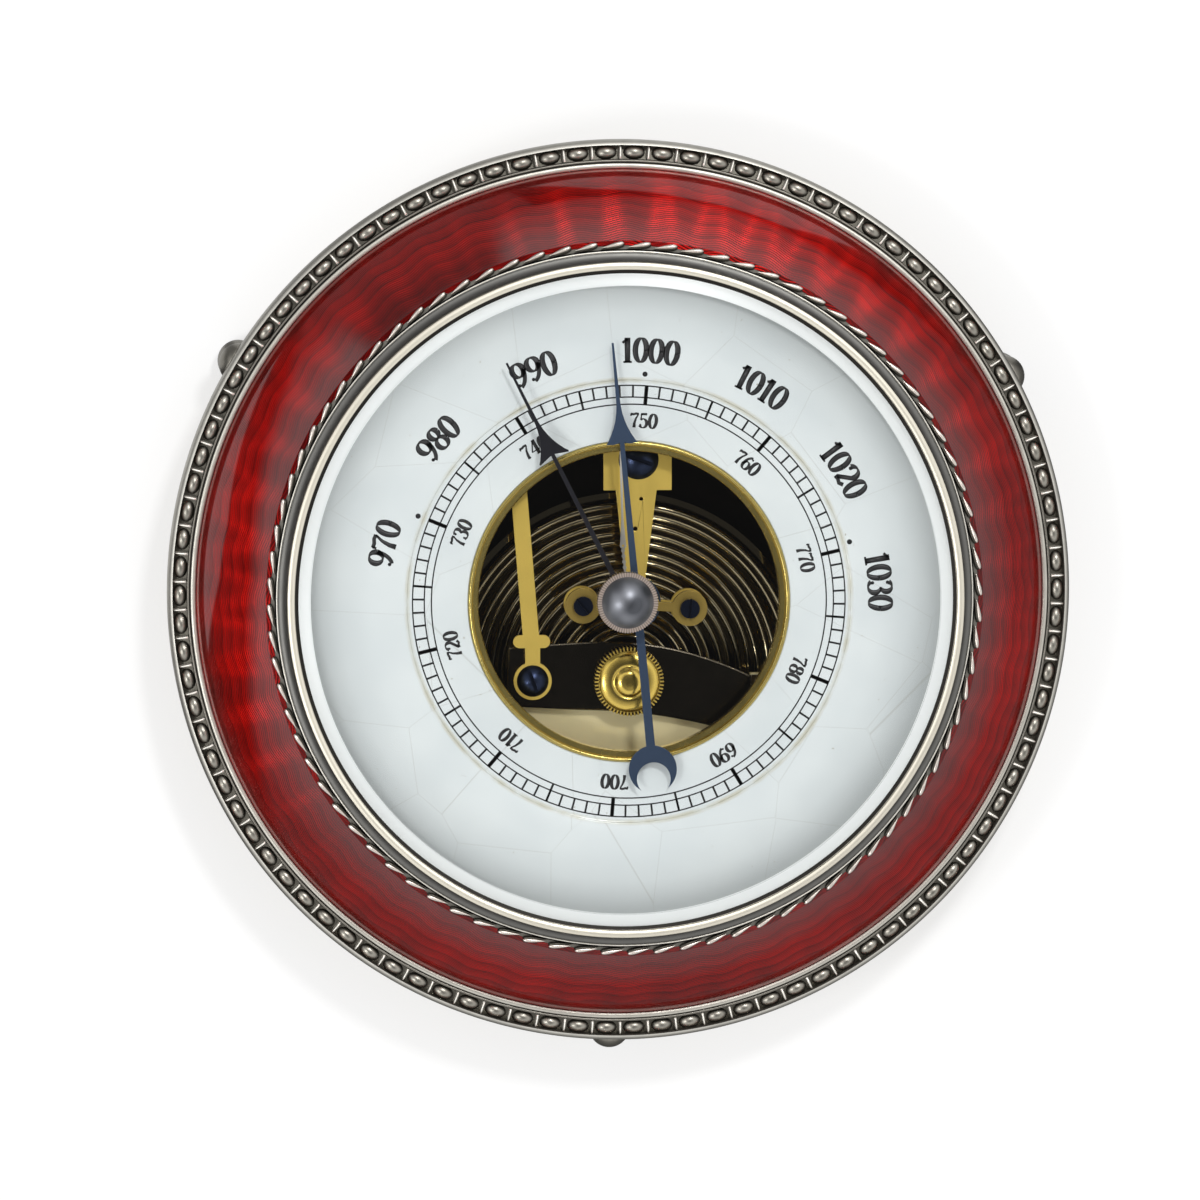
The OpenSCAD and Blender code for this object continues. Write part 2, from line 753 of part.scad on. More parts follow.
module capsule_base() {
    color("dimgray") at_capsule() union() {
        mirror([0, 0, 1]) translate([0, 0, -cap_mid]) corrugated_half();
        translate([0, 0, cap_mid - cap_half - sheet_t]) cylinder(h = sheet_t, r = cap_boss_r + 0.1);
        post(0, 0, plate_top + 0.2, cap_mid - cap_half - sheet_t + 0.1, 3.2);
    }
}

module capsule_post() {
    color("goldenrod") at_capsule() union() {
        post(0, 0, cap_mid + cap_half - 0.5, post_top, post_r);
        translate([0, 0, cap_top_z + 0.02]) cylinder(h = 0.8, r = 3.2);
    }
}

module adjusting_screw() {
    slot_w = 0.6;
    low = cover_z + cover_t + 0.3;
    color("steelblue") at_capsule() difference() {
        translate([0, 0, low]) cylinder(h = plate_top + 0.15 - low, r = screw_r);
        translate([-3, -slot_w / 2, low - 0.1]) cube([6, slot_w, 0.8]);
    }
}

clamp_y0 = -21;
clamp_y1 = -12.5;
clamp_screw_x = clamp_x + clamp_w / 2;
clamp_screw_ys = [-19, -14.5];
clamp_screw_r = 0.9;
bridge_screw_r = 1.1;
bridge_mid_y = (bridge_foot_y0 + bridge_y1) / 2;

module spring_bridge() {
    left = cap_x - cap_r - bridge_leg_gap;
    span = bridge_leg_x - left;
    depth = bridge_y1 - bridge_y0;
    color("gold") difference() {
        union() {
            translate([left - bridge_leg_t, bridge_y0, bridge_top - bridge_t])
                cube([span + 2 * bridge_leg_t, depth, bridge_t]);
            for (x = [left - bridge_leg_t, bridge_leg_x])
                translate([x, bridge_y0, plate_top]) cube([bridge_leg_t, depth, bridge_top - plate_top]);
            translate([left - bridge_leg_t - bridge_foot_w, bridge_foot_y0, plate_top])
                cube([bridge_foot_w + 0.1, bridge_y1 - bridge_foot_y0, bridge_foot_t]);
            translate([bridge_leg_x + bridge_leg_t - 0.1, bridge_foot_y0, plate_top])
                cube([bridge_foot_w + 0.1, bridge_y1 - bridge_foot_y0, bridge_foot_t]);
            translate([clamp_x, bridge_y0 + 3, bridge_top - bridge_t])
                cube([clamp_w, clamp_y1 - bridge_y0 - 3, bridge_t]);
            translate([clamp_x, clamp_y0, bridge_top - 0.1])
                cube([clamp_w, clamp_y1 - clamp_y0, spring_low - bridge_top + 0.1]);
        }
        for (y = clamp_screw_ys)
            post(clamp_screw_x, y, bridge_top - 3, spring_low + 1, clamp_screw_r + 0.02);
        for (x = bridge_screw_xs)
            post(x, bridge_mid_y, plate_top - 1, plate_top + 3, bridge_screw_r + 0.05);
    }
}

bridge_screw_xs = [
    cap_x - cap_r - bridge_leg_gap - bridge_leg_t - bridge_foot_w / 2,
    bridge_leg_x + bridge_leg_t + bridge_foot_w / 2
];

module bridge_screws() {
    color("steelblue") for (x = bridge_screw_xs)
        flat_screw(x, bridge_mid_y, plate_top + bridge_foot_t, 1.8, 0.9, bridge_screw_r, bridge_foot_t, 35);
}

// The leaf is broadest at the post and a little bowed
function leaf_y(x) = -12.6 - 0.0085 * pow(max(x + 4, 0), 2);
function leaf_half(x) = 4.4 + 1.05 * (1 - pow((x - 3) / 22, 2));

module mainspring() {
    upper = [for (i = [0:16]) let (x = spring_left + (clamp_x + 0.5 - spring_left) * i / 16)
        [x, min(leaf_y(x) + leaf_half(x), -6.9)]];
    lower = [for (i = [16:-1:0]) let (x = spring_left + (clamp_x + 0.5 - spring_left) * i / 16)
        [x, leaf_y(x) - leaf_half(x)]];
    tail = [[spring_right, clamp_y1], [spring_right, clamp_y0]];
    color("darkslategray") translate([0, 0, spring_low]) difference() {
        linear_extrude(spring_t) polygon(concat(upper, tail, lower));
        at_capsule() translate([0, 0, -1]) cylinder(h = 3, r = post_r + pass_gap);
        for (y = clamp_screw_ys)
            post(clamp_screw_x, y, -1, 3, clamp_screw_r + 0.05);
        post(lever_x, lever_y, -1, 3, 1.05);
    }
}

clamp_t = 1.2;

module spring_clamp() {
    color("goldenrod") difference() {
        translate([clamp_x, clamp_y0, spring_top]) cube([clamp_w, clamp_y1 - clamp_y0, clamp_t]);
        for (y = clamp_screw_ys)
            post(clamp_screw_x, y, spring_top - 1, spring_top + 3, clamp_screw_r + 0.05);
    }
}

module clamp_screws() {
    color("steelblue") for (y = clamp_screw_ys)
        flat_screw(clamp_screw_x, y, spring_top + clamp_t, 1.7, 0.8, clamp_screw_r,
            clamp_t + spring_t + 1.5, y * 20);
}

module knurled_nut() {
    r = nut_d / 2;
    teeth = 58;
    flange_h = 1.9;
    z = spring_top;
    ball_r = r * 0.95;
    color("gold") at_capsule() difference() {
        union() {
            translate([0, 0, z]) linear_extrude(flange_h)
                polygon([for (i = [0:2 * teeth - 1]) let (a = 180 * i / teeth)
                    (r - (i % 2) * 0.25) * [cos(a), sin(a)]]);
            translate([0, 0, z + flange_h - 0.05]) rotate_extrude() polygon([
                [0, 0], [r * 0.88, 0], [r * 0.84, 0.3], [r * 0.74, 0.52], [r * 0.6, 0.68],
                [r * 0.5, 0.72], [r * 0.46, 0.62], [r * 0.42, 0.7], [r * 0.38, 1.05],
                [r * 0.26, 1.35], [r * 0.12, 1.45], [0, 1.48]
            ]);
        }
        translate([0, 0, z - 1]) cylinder(h = 1 + post_top - z + 0.6, r = post_r + pass_gap);
    }
}

module main_lever() {
    cross_y = lever_y + 6.1;
    strip_top = [lever_end_x, lever_end_y];
    strip_low = [lever_x - 0.2, cross_y];
    half = lever_w / 2;
    color("gold") difference() {
        union() {
            translate([0, 0, lever_low]) slab(lever_t) {
                translate([lever_x, lever_y]) circle(r = 2.94);
                translate([lever_x - 1.15, lever_y + 1.5]) square([2.3, cross_y - lever_y - 1]);
                translate([lever_x - 2, cross_y]) circle(r = 1);
                translate([lever_x + 1.7, cross_y]) circle(r = 1);
                translate([lever_x - 2, cross_y - 1]) square([3.7, 2]);
                polygon([
                    [strip_low[0] - half, strip_low[1]], [strip_low[0] + half, strip_low[1]],
                    [strip_top[0] + half, strip_top[1]], [strip_top[0] - half, strip_top[1]]
                ]);
                translate(strip_top) circle(r = half);
            }
            post(lever_x, lever_y, spring_top, lever_low + 0.1, 2.3);
        }
        post(lever_x, lever_y, spring_top - 1, lever_low + 3, 1.05);
        post(lever_end_x, lever_end_y, lever_low - 1, lever_low + 3, 0.35);
    }
}

module lever_screw() {
    color("midnightblue")
        dome_screw(lever_x, lever_y, lever_low + lever_t, 2.45, 1.3, 1,
            lever_low + lever_t - spring_top + 0.4, 110);
}

eye_half_w = 0.3;

module drop_link() {
    color("lightsteelblue") difference() {
        union() {
            post(lever_end_x, lever_end_y, shaft_z + 0.9, lever_low + lever_t + 0.4, 0.33);
            translate([lever_end_x - eye_half_w, lever_end_y, shaft_z])
                rotate([0, 90, 0]) cylinder(h = 2 * eye_half_w, r = 1.15);
        }
        translate([lever_end_x - 1, lever_end_y, shaft_z]) rotate([0, 90, 0]) cylinder(h = 2, r = 0.75);
    }
}

module regulating_shaft() {
    crank_x = lever_end_x - eye_half_w - 0.9;
    crank_t = 0.6;
    arm_w = 0.8;
    arm_d = 0.5;
    shaft_l = cheek_right - cheek_left - cheek_t - 0.2;
    color("lightsteelblue") union() {
        translate([cheek_left + cheek_t + 0.1, shaft_y, shaft_z])
            rotate([0, 90, 0]) cylinder(h = shaft_l, r = shaft_r);
        translate([cheek_left + 0.1, shaft_y, shaft_z])
            rotate([0, 90, 0]) cylinder(h = cheek_right - cheek_left + cheek_t - 0.2, r = pivot_r);
        translate([crank_x, shaft_y, shaft_z]) rotate([0, 90, 0]) cylinder(h = crank_t, r = 1.5);
        translate([crank_x, shaft_y, shaft_z - 0.5]) cube([crank_t, crank_l + 0.5, 1]);
        translate([crank_x, lever_end_y, shaft_z])
            rotate([0, 90, 0]) cylinder(h = 0.9 + 2 * eye_half_w + 0.3, r = 0.35);
        translate([arm_x - 0.9, shaft_y, shaft_z]) rotate([0, 90, 0]) cylinder(h = 1.8, r = 1.6);
        translate([arm_x - arm_w / 2, shaft_y - arm_d / 2, shaft_z])
            cube([arm_w, arm_d, arm_top - shaft_z]);
    }
}

module shaft_bracket() {
    depth = 5;
    color("goldenrod") difference() {
        union() {
            translate([cheek_left, shaft_y - depth / 2, plate_top])
                cube([cheek_right - cheek_left + cheek_t, depth, plate_t]);
            for (x = [cheek_left, cheek_right]) {
                translate([x, shaft_y - depth / 2, plate_top]) cube([cheek_t, depth, shaft_z - plate_top]);
                translate([x, shaft_y, shaft_z]) rotate([0, 90, 0]) cylinder(h = cheek_t, r = depth / 2);
            }
        }
        translate([cheek_left - 1, shaft_y, shaft_z])
            rotate([0, 90, 0]) cylinder(h = cheek_right - cheek_left + cheek_t + 2, r = pivot_r + run_gap);
    }
}

link_t = 0.3;
link_angle = atan2(arm_x - eye_x, shaft_y - eye_y);
link_l = norm([arm_x - eye_x, shaft_y - eye_y]);

module pull_link() {
    color("lightgray") translate([eye_x, eye_y, link_z - link_t / 2]) rotate([0, 0, -link_angle])
        difference() {
            slab(link_t) {
                circle(r = 0.5);
                polygon([
                    [-0.45, 0.2], [-0.16, 4], [-0.16, link_l - 0.9],
                    [0.16, link_l - 0.9], [0.16, 4], [0.45, 0.2]
                ]);
                translate([0, link_l]) circle(r = 1.15);
            }
            translate([0, link_l, -1]) cylinder(h = 3, r = 0.75);
            translate([0, 0, -1]) cylinder(h = 3, r = 0.18);
        }
}

// The chain runs straight from the link's eye to the drum, then round it
chain_foot = [arbor_x - chain_r, arbor_y];
chain_gap = 0.25;
chain_start = [eye_x, eye_y - 0.5 - chain_gap];
chain_run = norm(chain_foot - chain_start);
chain_straight_n = floor(chain_run / chain_pitch);
chain_wrap_n = 4;
chain_dir = (chain_foot - chain_start) / chain_run;

function chain_pt(i) =
    i <= chain_straight_n
        ? chain_start + chain_dir * chain_run * i / chain_straight_n
        : let (a = 180 + (i - chain_straight_n) * chain_pitch / chain_r * 180 / PI)
          [arbor_x + chain_r * cos(a), arbor_y + chain_r * sin(a)];

module chain_bar(p, q, level) {
    v = q - p;
    translate([p[0], p[1], link_z + level]) rotate([0, 0, atan2(v[1], v[0])])
        translate([0, -chain_w * 0.27, 0]) cube([norm(v), chain_w * 0.54, chain_plate]);
}

module chain() {
    last = chain_straight_n + chain_wrap_n;
    color("lightgray") union() {
        for (i = [0:last])
            translate([chain_pt(i)[0], chain_pt(i)[1], link_z - chain_plate])
                cylinder(h = 2 * chain_plate, r = chain_w / 2, $fn = 24);
        for (i = [0:last - 1])
            chain_bar(chain_pt(i), chain_pt(i + 1), i % 2 == 0 ? 0 : -chain_plate);
    }
}

module arbor() {
    color("lightsteelblue") at_arbor() union() {
        post(0, 0, arbor_low, arbor_low + 1.2, 0.4);
        post(0, 0, lower_top + 0.1, pointer_z + pointer_t + 0.5, arbor_r);
    }
}

module chain_drum() {
    z0 = cock_top + lift_gap;
    flange_t = 0.3;
    groove = 2 * (link_z - z0 - flange_t);
    color("gold") at_arbor() difference() {
        union() {
            translate([0, 0, z0]) cylinder(h = flange_t, r = 1.75);
            translate([0, 0, z0 + 0.1]) cylinder(h = groove + flange_t, r = drum_groove_r);
            translate([0, 0, z0 + flange_t + groove]) cylinder(h = flange_t, r = 1.75);
        }
        translate([0, 0, z0 - 1]) cylinder(h = groove + 4, r = arbor_r + 0.01);
    }
}

// Hairspring: a flat spiral from the collet to its stud
hair_z = (lower_top + ear_low) / 2;
hair_pitch = 0.76;
hair_in = 1.5;
hair_loops = 4;
hair_rings = 24;
hair_sides = 6;
hair_collet_r = 1.1;
hair_start = 172;
hair_out = hair_in + hair_pitch * hair_loops;
hair_end = hair_start + 360 * hair_loops;

function hair_spiral(i) =
    let (a = hair_start + 360 * i / hair_rings)
    let (r = hair_in + hair_pitch * i / hair_rings)
    [r * cos(a), r * sin(a)];

hair_lead = [for (r = [hair_collet_r + 0.02, hair_collet_r + 0.02 + hair_d])
    [r * cos(hair_start - 16), r * sin(hair_start - 16)]];
hair_turns = [for (i = [1:hair_rings * hair_loops]) hair_spiral(i)];
hair_tangent = [-sin(hair_end), cos(hair_end)];
hair_tail = [for (s = [0.5, 0.8]) hair_spiral(hair_rings * hair_loops) + hair_tangent * s];
hair_path = concat(hair_lead, hair_turns, hair_tail);

function unit(v) = v / norm(v);
function hair_dir(i) =
    let (n = len(hair_path) - 1)
    unit(hair_path[min(i + 1, n)] - hair_path[max(i - 1, 0)]);
function hair_ring(i) =
    let (d = hair_dir(i))
    let (side = [d[1], -d[0]])
    [for (k = [0:hair_sides - 1]) let (a = 360 * k / hair_sides)
        [hair_path[i][0] + side[0] * cos(a) * hair_d / 2,
         hair_path[i][1] + side[1] * cos(a) * hair_d / 2,
         hair_z + sin(a) * hair_d / 2]];

function tube_faces(rings, sides) = concat(
    [for (k = [1:sides - 2]) [0, k + 1, k]],
    [for (i = [0:rings - 2]) for (k = [0:sides - 1])
        let (a = i * sides + k)
        let (b = i * sides + (k + 1) % sides)
        each [[a, b, b + sides], [a, b + sides, a + sides]]],
    [for (k = [1:sides - 2]) let (e = (rings - 1) * sides) [e, e + k, e + k + 1]]
);

// Least distance between points of the wire a loop or more apart, less the wire
hair_apart = hair_rings * 3 / 4;
hair_least = min([for (i = [0:len(hair_turns) - 1 - hair_apart])
    min([for (j = [i + hair_apart:len(hair_turns) - 1]) norm(hair_turns[i] - hair_turns[j])])]) - hair_d;
echo(hairspring_least_gap_mm = hair_least);

module hairspring() {
    points = [for (i = [0:len(hair_path) - 1]) each hair_ring(i)];
    color("steelblue") at_arbor() polyhedron(points, tube_faces(len(hair_path), hair_sides));
}

module hairspring_collet() {
    color("gold") at_arbor() difference() {
        translate([0, 0, hair_z - 0.5]) cylinder(h = 1, r = hair_collet_r);
        translate([0, 0, hair_z - 1]) cylinder(h = 3, r = arbor_r + 0.01);
    }
}

module hairspring_stud() {
    tip = hair_tail[1] + hair_tangent * 0.02;
    color("goldenrod") at_arbor() translate([tip[0], tip[1], lower_top])
        rotate([0, 0, hair_end + 90]) translate([0, -0.45, 0]) cube([0.7, 0.9, ear_low - lower_top]);
}

module ear_slab(h) {
    hub = [arbor_x, arbor_y];
    neck = 0.7;
    slab(h) {
        translate(hub) circle(r = 3);
        translate(left_ear) circle(r = ear_r);
        translate(right_ear) circle(r = ear_r);
        polygon([hub + [0, neck], left_ear + [0, neck], left_ear - [0, neck], hub - [0, neck]]);
        polygon([hub + [0, neck], right_ear + [0, neck], right_ear - [0, neck], hub - [0, neck]]);
    }
}

module cock() {
    head_l = -2.9;
    head_r = 7.6;
    head_low = 16.25;
    head_top = 23.6;
    color("gold") difference() {
        translate([0, 0, cock_low]) slab(plate_t) {
            translate([head_l, head_low]) square([head_r - head_l, head_top - head_low]);
            polygon([
                [-1, head_low + 0.1], [arbor_x - 1.5, 3], [arbor_x - 1.5, arbor_y],
                [arbor_x + 1.5, arbor_y], [arbor_x + 1.7, 3], [5.3, head_low + 0.1]
            ]);
            translate([arbor_x, arbor_y]) circle(r = 2.5);
        }
        post(arbor_x, arbor_y, cock_low - 1, cock_top + 1, arbor_r + run_gap);
        post(cock_pillar_x, cock_pillar_y, cock_low - 1, cock_top + 1, 1.35);
        post(2.9, 14.9, cock_low - 1, cock_top + 1, 0.3);
        post(2, 10.3, cock_low - 1, cock_top + 1, 0.35);
    }
}

module cock_pillar() {
    color("goldenrod") difference() {
        union() {
            post(cock_pillar_x, cock_pillar_y, plate_top, cock_low, cock_pillar_r);
            post(cock_pillar_x, cock_pillar_y, plate_top, plate_top + 1.2, cock_pillar_r + 0.5);
        }
        post(cock_pillar_x, cock_pillar_y, cock_low - 4, cock_low + 1, 1.32);
    }
}

module cock_screw() {
    color("midnightblue")
        dome_screw(cock_pillar_x, cock_pillar_y, cock_top, 3.1, 1.5, 1.3, plate_t + 3, 160);
}

module ear_plate() {
    color("darkgoldenrod") difference() {
        translate([0, 0, ear_low]) ear_slab(cock_low - ear_low);
        post(arbor_x, arbor_y, ear_low - 1, cock_low + 1, arbor_r + run_gap);
        for (ear = [left_ear, right_ear])
            post(ear[0], ear[1], ear_low - 1, cock_low + 1, 0.75);
    }
}

module ear_pillars() {
    color("goldenrod") for (ear = [left_ear, right_ear]) difference() {
        post(ear[0], ear[1], lower_top, ear_low, ear_pillar_r);
        post(ear[0], ear[1], ear_low - 1.5, ear_low + 1, 0.72);
    }
}

module ear_screws() {
    color("steelblue")
        for (ear = [left_ear, right_ear])
            flat_screw(ear[0], ear[1], cock_low, 1.5, 0.8, 0.7, 2, ear[0] * 8);
}

module lower_plate() {
    color("goldenrod") difference() {
        translate([0, 0, lower_low]) ear_slab(lower_top - lower_low);
        post(arbor_x, arbor_y, arbor_low - 0.05, lower_top + 1, 0.45);
    }
}

rim();
bead_border();
bead_frame();
surround();
enamel();
rope_border();
bezel();
glass();
glass_ring();
case_body();
back_cover();
feet();
foot_nuts();
dial();
opening_ring();
dial_posts();
pointer();
pointer_hub();
set_hand();
set_spindle();
set_bush();
set_knob();
base_plate();
base_screws();
capsule_base();
capsule_top();
capsule_post();
adjusting_screw();
spring_bridge();
bridge_screws();
mainspring();
spring_clamp();
clamp_screws();
knurled_nut();
main_lever();
lever_screw();
drop_link();
regulating_shaft();
shaft_bracket();
pull_link();
chain();
arbor();
chain_drum();
hairspring();
hairspring_collet();
hairspring_stud();
cock();
cock_pillar();
cock_screw();
ear_plate();
ear_pillars();
ear_screws();
lower_plate();
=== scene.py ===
# %% [markdown]
# # A desk barometer, piece by piece
# The object lies on three small feet and is read from above. A silver rim with a bead border carries a
# domed ring of red enamel. Under a bevelled glass lies a white dial whose open centre shows the movement.
# The construction model comes first: every piece that we draw here lies in the same place as its twin there.

# %% Load the construction model
import math

import bmesh
import bpy
from mathutils import Matrix, Vector


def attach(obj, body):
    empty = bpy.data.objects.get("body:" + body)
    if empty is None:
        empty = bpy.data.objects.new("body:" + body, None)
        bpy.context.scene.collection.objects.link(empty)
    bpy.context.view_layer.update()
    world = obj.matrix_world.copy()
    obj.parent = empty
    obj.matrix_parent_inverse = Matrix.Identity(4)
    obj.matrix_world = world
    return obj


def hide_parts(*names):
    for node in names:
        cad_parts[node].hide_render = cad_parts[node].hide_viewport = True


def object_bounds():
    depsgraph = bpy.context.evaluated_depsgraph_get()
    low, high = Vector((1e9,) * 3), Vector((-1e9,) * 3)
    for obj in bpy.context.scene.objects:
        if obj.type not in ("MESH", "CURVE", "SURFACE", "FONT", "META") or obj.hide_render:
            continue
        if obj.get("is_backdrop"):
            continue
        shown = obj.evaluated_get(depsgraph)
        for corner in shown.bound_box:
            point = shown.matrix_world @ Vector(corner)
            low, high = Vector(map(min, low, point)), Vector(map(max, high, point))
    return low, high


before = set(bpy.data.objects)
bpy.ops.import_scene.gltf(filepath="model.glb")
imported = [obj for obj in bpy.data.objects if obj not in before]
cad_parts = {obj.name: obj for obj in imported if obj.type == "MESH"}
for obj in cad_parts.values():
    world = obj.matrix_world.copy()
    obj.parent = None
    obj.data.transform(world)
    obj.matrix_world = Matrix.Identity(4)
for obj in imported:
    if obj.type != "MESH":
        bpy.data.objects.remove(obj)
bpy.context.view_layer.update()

MM = 0.001
TAU = 2 * math.pi

# %% [markdown]
# ## Colours and shader nodes
# Colours are written as sRGB hex, as they look on screen, and Blender wants linear values. A material is a
# tree of nodes. One function adds a node, sets what we give it and draws its links, so that a node can be
# handed on to the next one like a value.

# %% Colours and nodes


def srgb(code):
    """Linear RGBA of a colour written as RRGGBB."""
    parts = [int(code[i : i + 2], 16) / 255 for i in (0, 2, 4)]
    return [p / 12.92 if p <= 0.04045 else ((p + 0.055) / 1.055) ** 2.4 for p in parts] + [1.0]


def add(tree, kind, *inputs, stops=(), **settings):
    """Adds a node. A kind in capitals is an operation of the Math node.

    inputs fill its sockets in order, or by name in one dict. Each is a plain value, a socket to link from,
    or a node whose first output in use is linked. stops are a ramp's (position, grey or colour) pairs.
    """
    if kind.isupper():
        kind, settings["operation"] = "ShaderNodeMath", kind
    made = tree.nodes.new(kind)
    for key, value in settings.items():
        setattr(made, key, value)
    named = inputs[0] if inputs and isinstance(inputs[0], dict) else dict(enumerate(inputs))
    for key, value in named.items():
        if isinstance(value, bpy.types.Node):
            value = next(output for output in value.outputs if output.enabled)
        if isinstance(value, bpy.types.NodeSocket):
            tree.links.new(value, made.inputs[key])
        else:
            made.inputs[key].default_value = value
    if stops:
        elements = made.color_ramp.elements
        while len(elements) < len(stops):
            elements.new(0.5)
        for element, (position, colour) in zip(elements, stops):
            element.position = position
            element.color = colour if isinstance(colour, list) else (colour, colour, colour, 1)
    return made


def new_material(name):
    """An empty material and its tree of nodes."""
    material = bpy.data.materials.new(name)
    material.use_nodes = True
    material.node_tree.nodes.clear()
    return material, material.node_tree


# %% [markdown]
# ## Patterns measured in millimetres
# Object coordinates tell a shader where on the object it is, so a pattern can have a real size. The
# functions here join a few nodes into one idea: a distance from an axis, a ramp over a length, the
# hollows where dirt gathers and shade falls, and a colour laid over another.

# %% Places, hollows and layers


def object_coords(tree):
    """Object coordinates in millimetres."""
    metres = add(tree, "ShaderNodeTexCoord").outputs["Object"]
    return add(tree, "ShaderNodeVectorMath", {0: metres, "Scale": 1 / MM}, operation="SCALE")


def radius_mm(tree, centre=(0.0, 0.0)):
    """Distance from a vertical axis, in millimetres."""
    place = add(tree, "ShaderNodeSeparateXYZ", object_coords(tree)).outputs
    x = add(tree, "SUBTRACT", place[0], centre[0])
    y = add(tree, "SUBTRACT", place[1], centre[1])
    return add(tree, "SQRT", add(tree, "MULTIPLY_ADD", x, x, add(tree, "MULTIPLY", y, y)))


def by_length(tree, length, *stops):
    """A ramp over a length. Its stops are (millimetres, grey or colour)."""
    first, last = stops[0][0], stops[-1][0]
    share = add(tree, "DIVIDE", add(tree, "SUBTRACT", length, first), last - first)
    return add(
        tree, "ShaderNodeValToRGB", share, stops=[((at - first) / (last - first), tone) for at, tone in stops]
    )


def cavity(tree, distance_mm):
    """1 where shade falls, in hollows and near other parts, 0 in the open, over about that distance."""
    reach = {"Distance": distance_mm * MM}
    open_part = add(tree, "ShaderNodeAmbientOcclusion", reach, samples=6).outputs["AO"]
    return add(tree, "SUBTRACT", 1.0, open_part)


def laid_over(tree, base, colour, mask, strength=1.0):
    """A colour laid over the base where the mask is bright."""
    amount = add(tree, "MULTIPLY", mask, strength)
    return add(tree, "ShaderNodeMix", {0: amount, 6: base, 7: colour}, data_type="RGBA")


# %% [markdown]
# ## Metals
# A polished metal mirrors what stands round it, and what makes it look old is that the mirror isn't even:
# the polish is clouded, dirt stays in the hollows, and edges are rubbed bright. A picture texture could
# show this too, but a few nodes do it at any size and find the hollows by themselves, by ambient
# occlusion, so what they lay there is dirt and also painted shade, in hollows and under other parts. All
# metals keep the shader's own index of refraction.

# %% A metal with age
PLAIN_DIRT = "2A2622"
CLOUDS_PER_MM = 0.35
GRAINS_PER_MM = 6.0
ROUGHNESS_SPREAD = 0.12


def metal(name, colour, roughness, dirt_and_shade=None, dirt_and_shade_mm=1.0, dirt_and_shade_amount=0.8, cloud=0.12, grain=0.0):
    """A metal with clouded polish, and grime and painted shade in hollows over about dirt_and_shade_mm.

    colour is a hex code, or for a turned piece a list of (radius in mm, hex code) rings. cloud is the
    share of the dirt_and_shade colour in the clouds, and grain the height in mm of a fine unevenness.
    """
    material, tree = new_material(name)
    where = object_coords(tree)
    clouds = add(tree, "ShaderNodeTexNoise", {"Vector": where, "Scale": CLOUDS_PER_MM, "Detail": 4.0})
    if isinstance(colour, str):
        clean = srgb(colour)
    else:
        clean = by_length(tree, radius_mm(tree), *[(radius, srgb(code)) for radius, code in colour])
    base = laid_over(tree, clean, srgb(dirt_and_shade or PLAIN_DIRT), clouds, cloud)
    if dirt_and_shade:
        # Dirt and painted shade: ambient occlusion darkens the hollows and where other parts come close
        hollow_dirt_and_shade = add(tree, "ShaderNodeValToRGB", cavity(tree, dirt_and_shade_mm), stops=[(0.3, 0.0), (0.75, 1.0)])
        base = laid_over(tree, base, srgb(dirt_and_shade), hollow_dirt_and_shade, dirt_and_shade_amount)
    rough = add(tree, "MULTIPLY_ADD", clouds, ROUGHNESS_SPREAD, roughness - ROUGHNESS_SPREAD / 2)
    looks = {"Base Color": base, "Metallic": 1.0, "Roughness": rough}
    if grain:
        fine = add(tree, "ShaderNodeTexNoise", {"Vector": where, "Scale": GRAINS_PER_MM, "Detail": 2.0})
        bump = {"Height": fine, "Distance": grain * MM, "Strength": 1.0}
        looks["Normal"] = add(tree, "ShaderNodeBump", bump)
    shader = add(tree, "ShaderNodeBsdfPrincipled", looks)
    add(tree, "ShaderNodeOutputMaterial", {"Surface": shader})
    return material


# %% [markdown]
# ## Silver
# The case is silver that has been handled for generations. Its raised lines are bright and its channels
# nearly black. A turned ring is one piece but has a different tone on each of its mouldings, so its
# colour is given by radius.

# %% Silver finishes
# Rolled silver of the rim: both fillets are rubbed bright, the channel between them is tarnished
RIM_TONES = [
    (65.0, "DDD9CE"),
    (66.3, "DDD9CE"),
    (66.42, "2A2825"),
    (66.58, "9A968D"),
    (66.92, "8F8B82"),
    (67.02, "67645C"),
    (69.08, "67645C"),
    (69.2, "E2DFD6"),
    (70.1, "D2CFC6"),
]
SILVER = metal("aged_silver", RIM_TONES, 0.44, "35322D", 0.8, 0.25, cloud=0.4, grain=0.008)
# Pressed and cast silver of the pearls, the surround, the glass ring and the feet, dark in every hollow
PEARL_SILVER = metal("patinated_silver", "A8A49A", 0.36, "2A2823", 0.8, 0.6, cloud=0.4, grain=0.01)
# The rope lies deep and is nearly black; only the tips of its leaves are rubbed bright
ROPE_SILVER = metal("blackened_silver", "55524C", 0.4, "1A1815", 0.8, 0.9, cloud=0.4)
TIP_SILVER = metal("bright_tips", "E9DFD6", 0.38, "2A2724", 0.5, 0.8, cloud=0.15)
# The bars between the pearls stand proud and are rubbed bright
RUBBED_SILVER = metal("rubbed_silver", "FAF7EE", 0.5, cloud=0.03)
# The bezel, from the dark lip on the glass over the bright fillet and the dark hollow to the bright bead.
# The lip's near black tone is painted shade
BEZEL_TONES = [
    (50.2, "2E2C29"),
    (50.75, "2E2C29"),
    (50.84, "E9E3D3"),
    (51.88, "E4DECE"),
    (51.97, "6E6D6B"),
    (53.3, "74736F"),
    (53.36, "F2EEE4"),
    (53.55, "F2EEE4"),
    (53.6, "171614"),
    (53.8, "171614"),
]
BEZEL_SILVER = metal("turned_silver", BEZEL_TONES, 0.46, "37393B", 0.5, 0.4, cloud=0.08)
print("silver finishes:", len(bpy.data.materials))

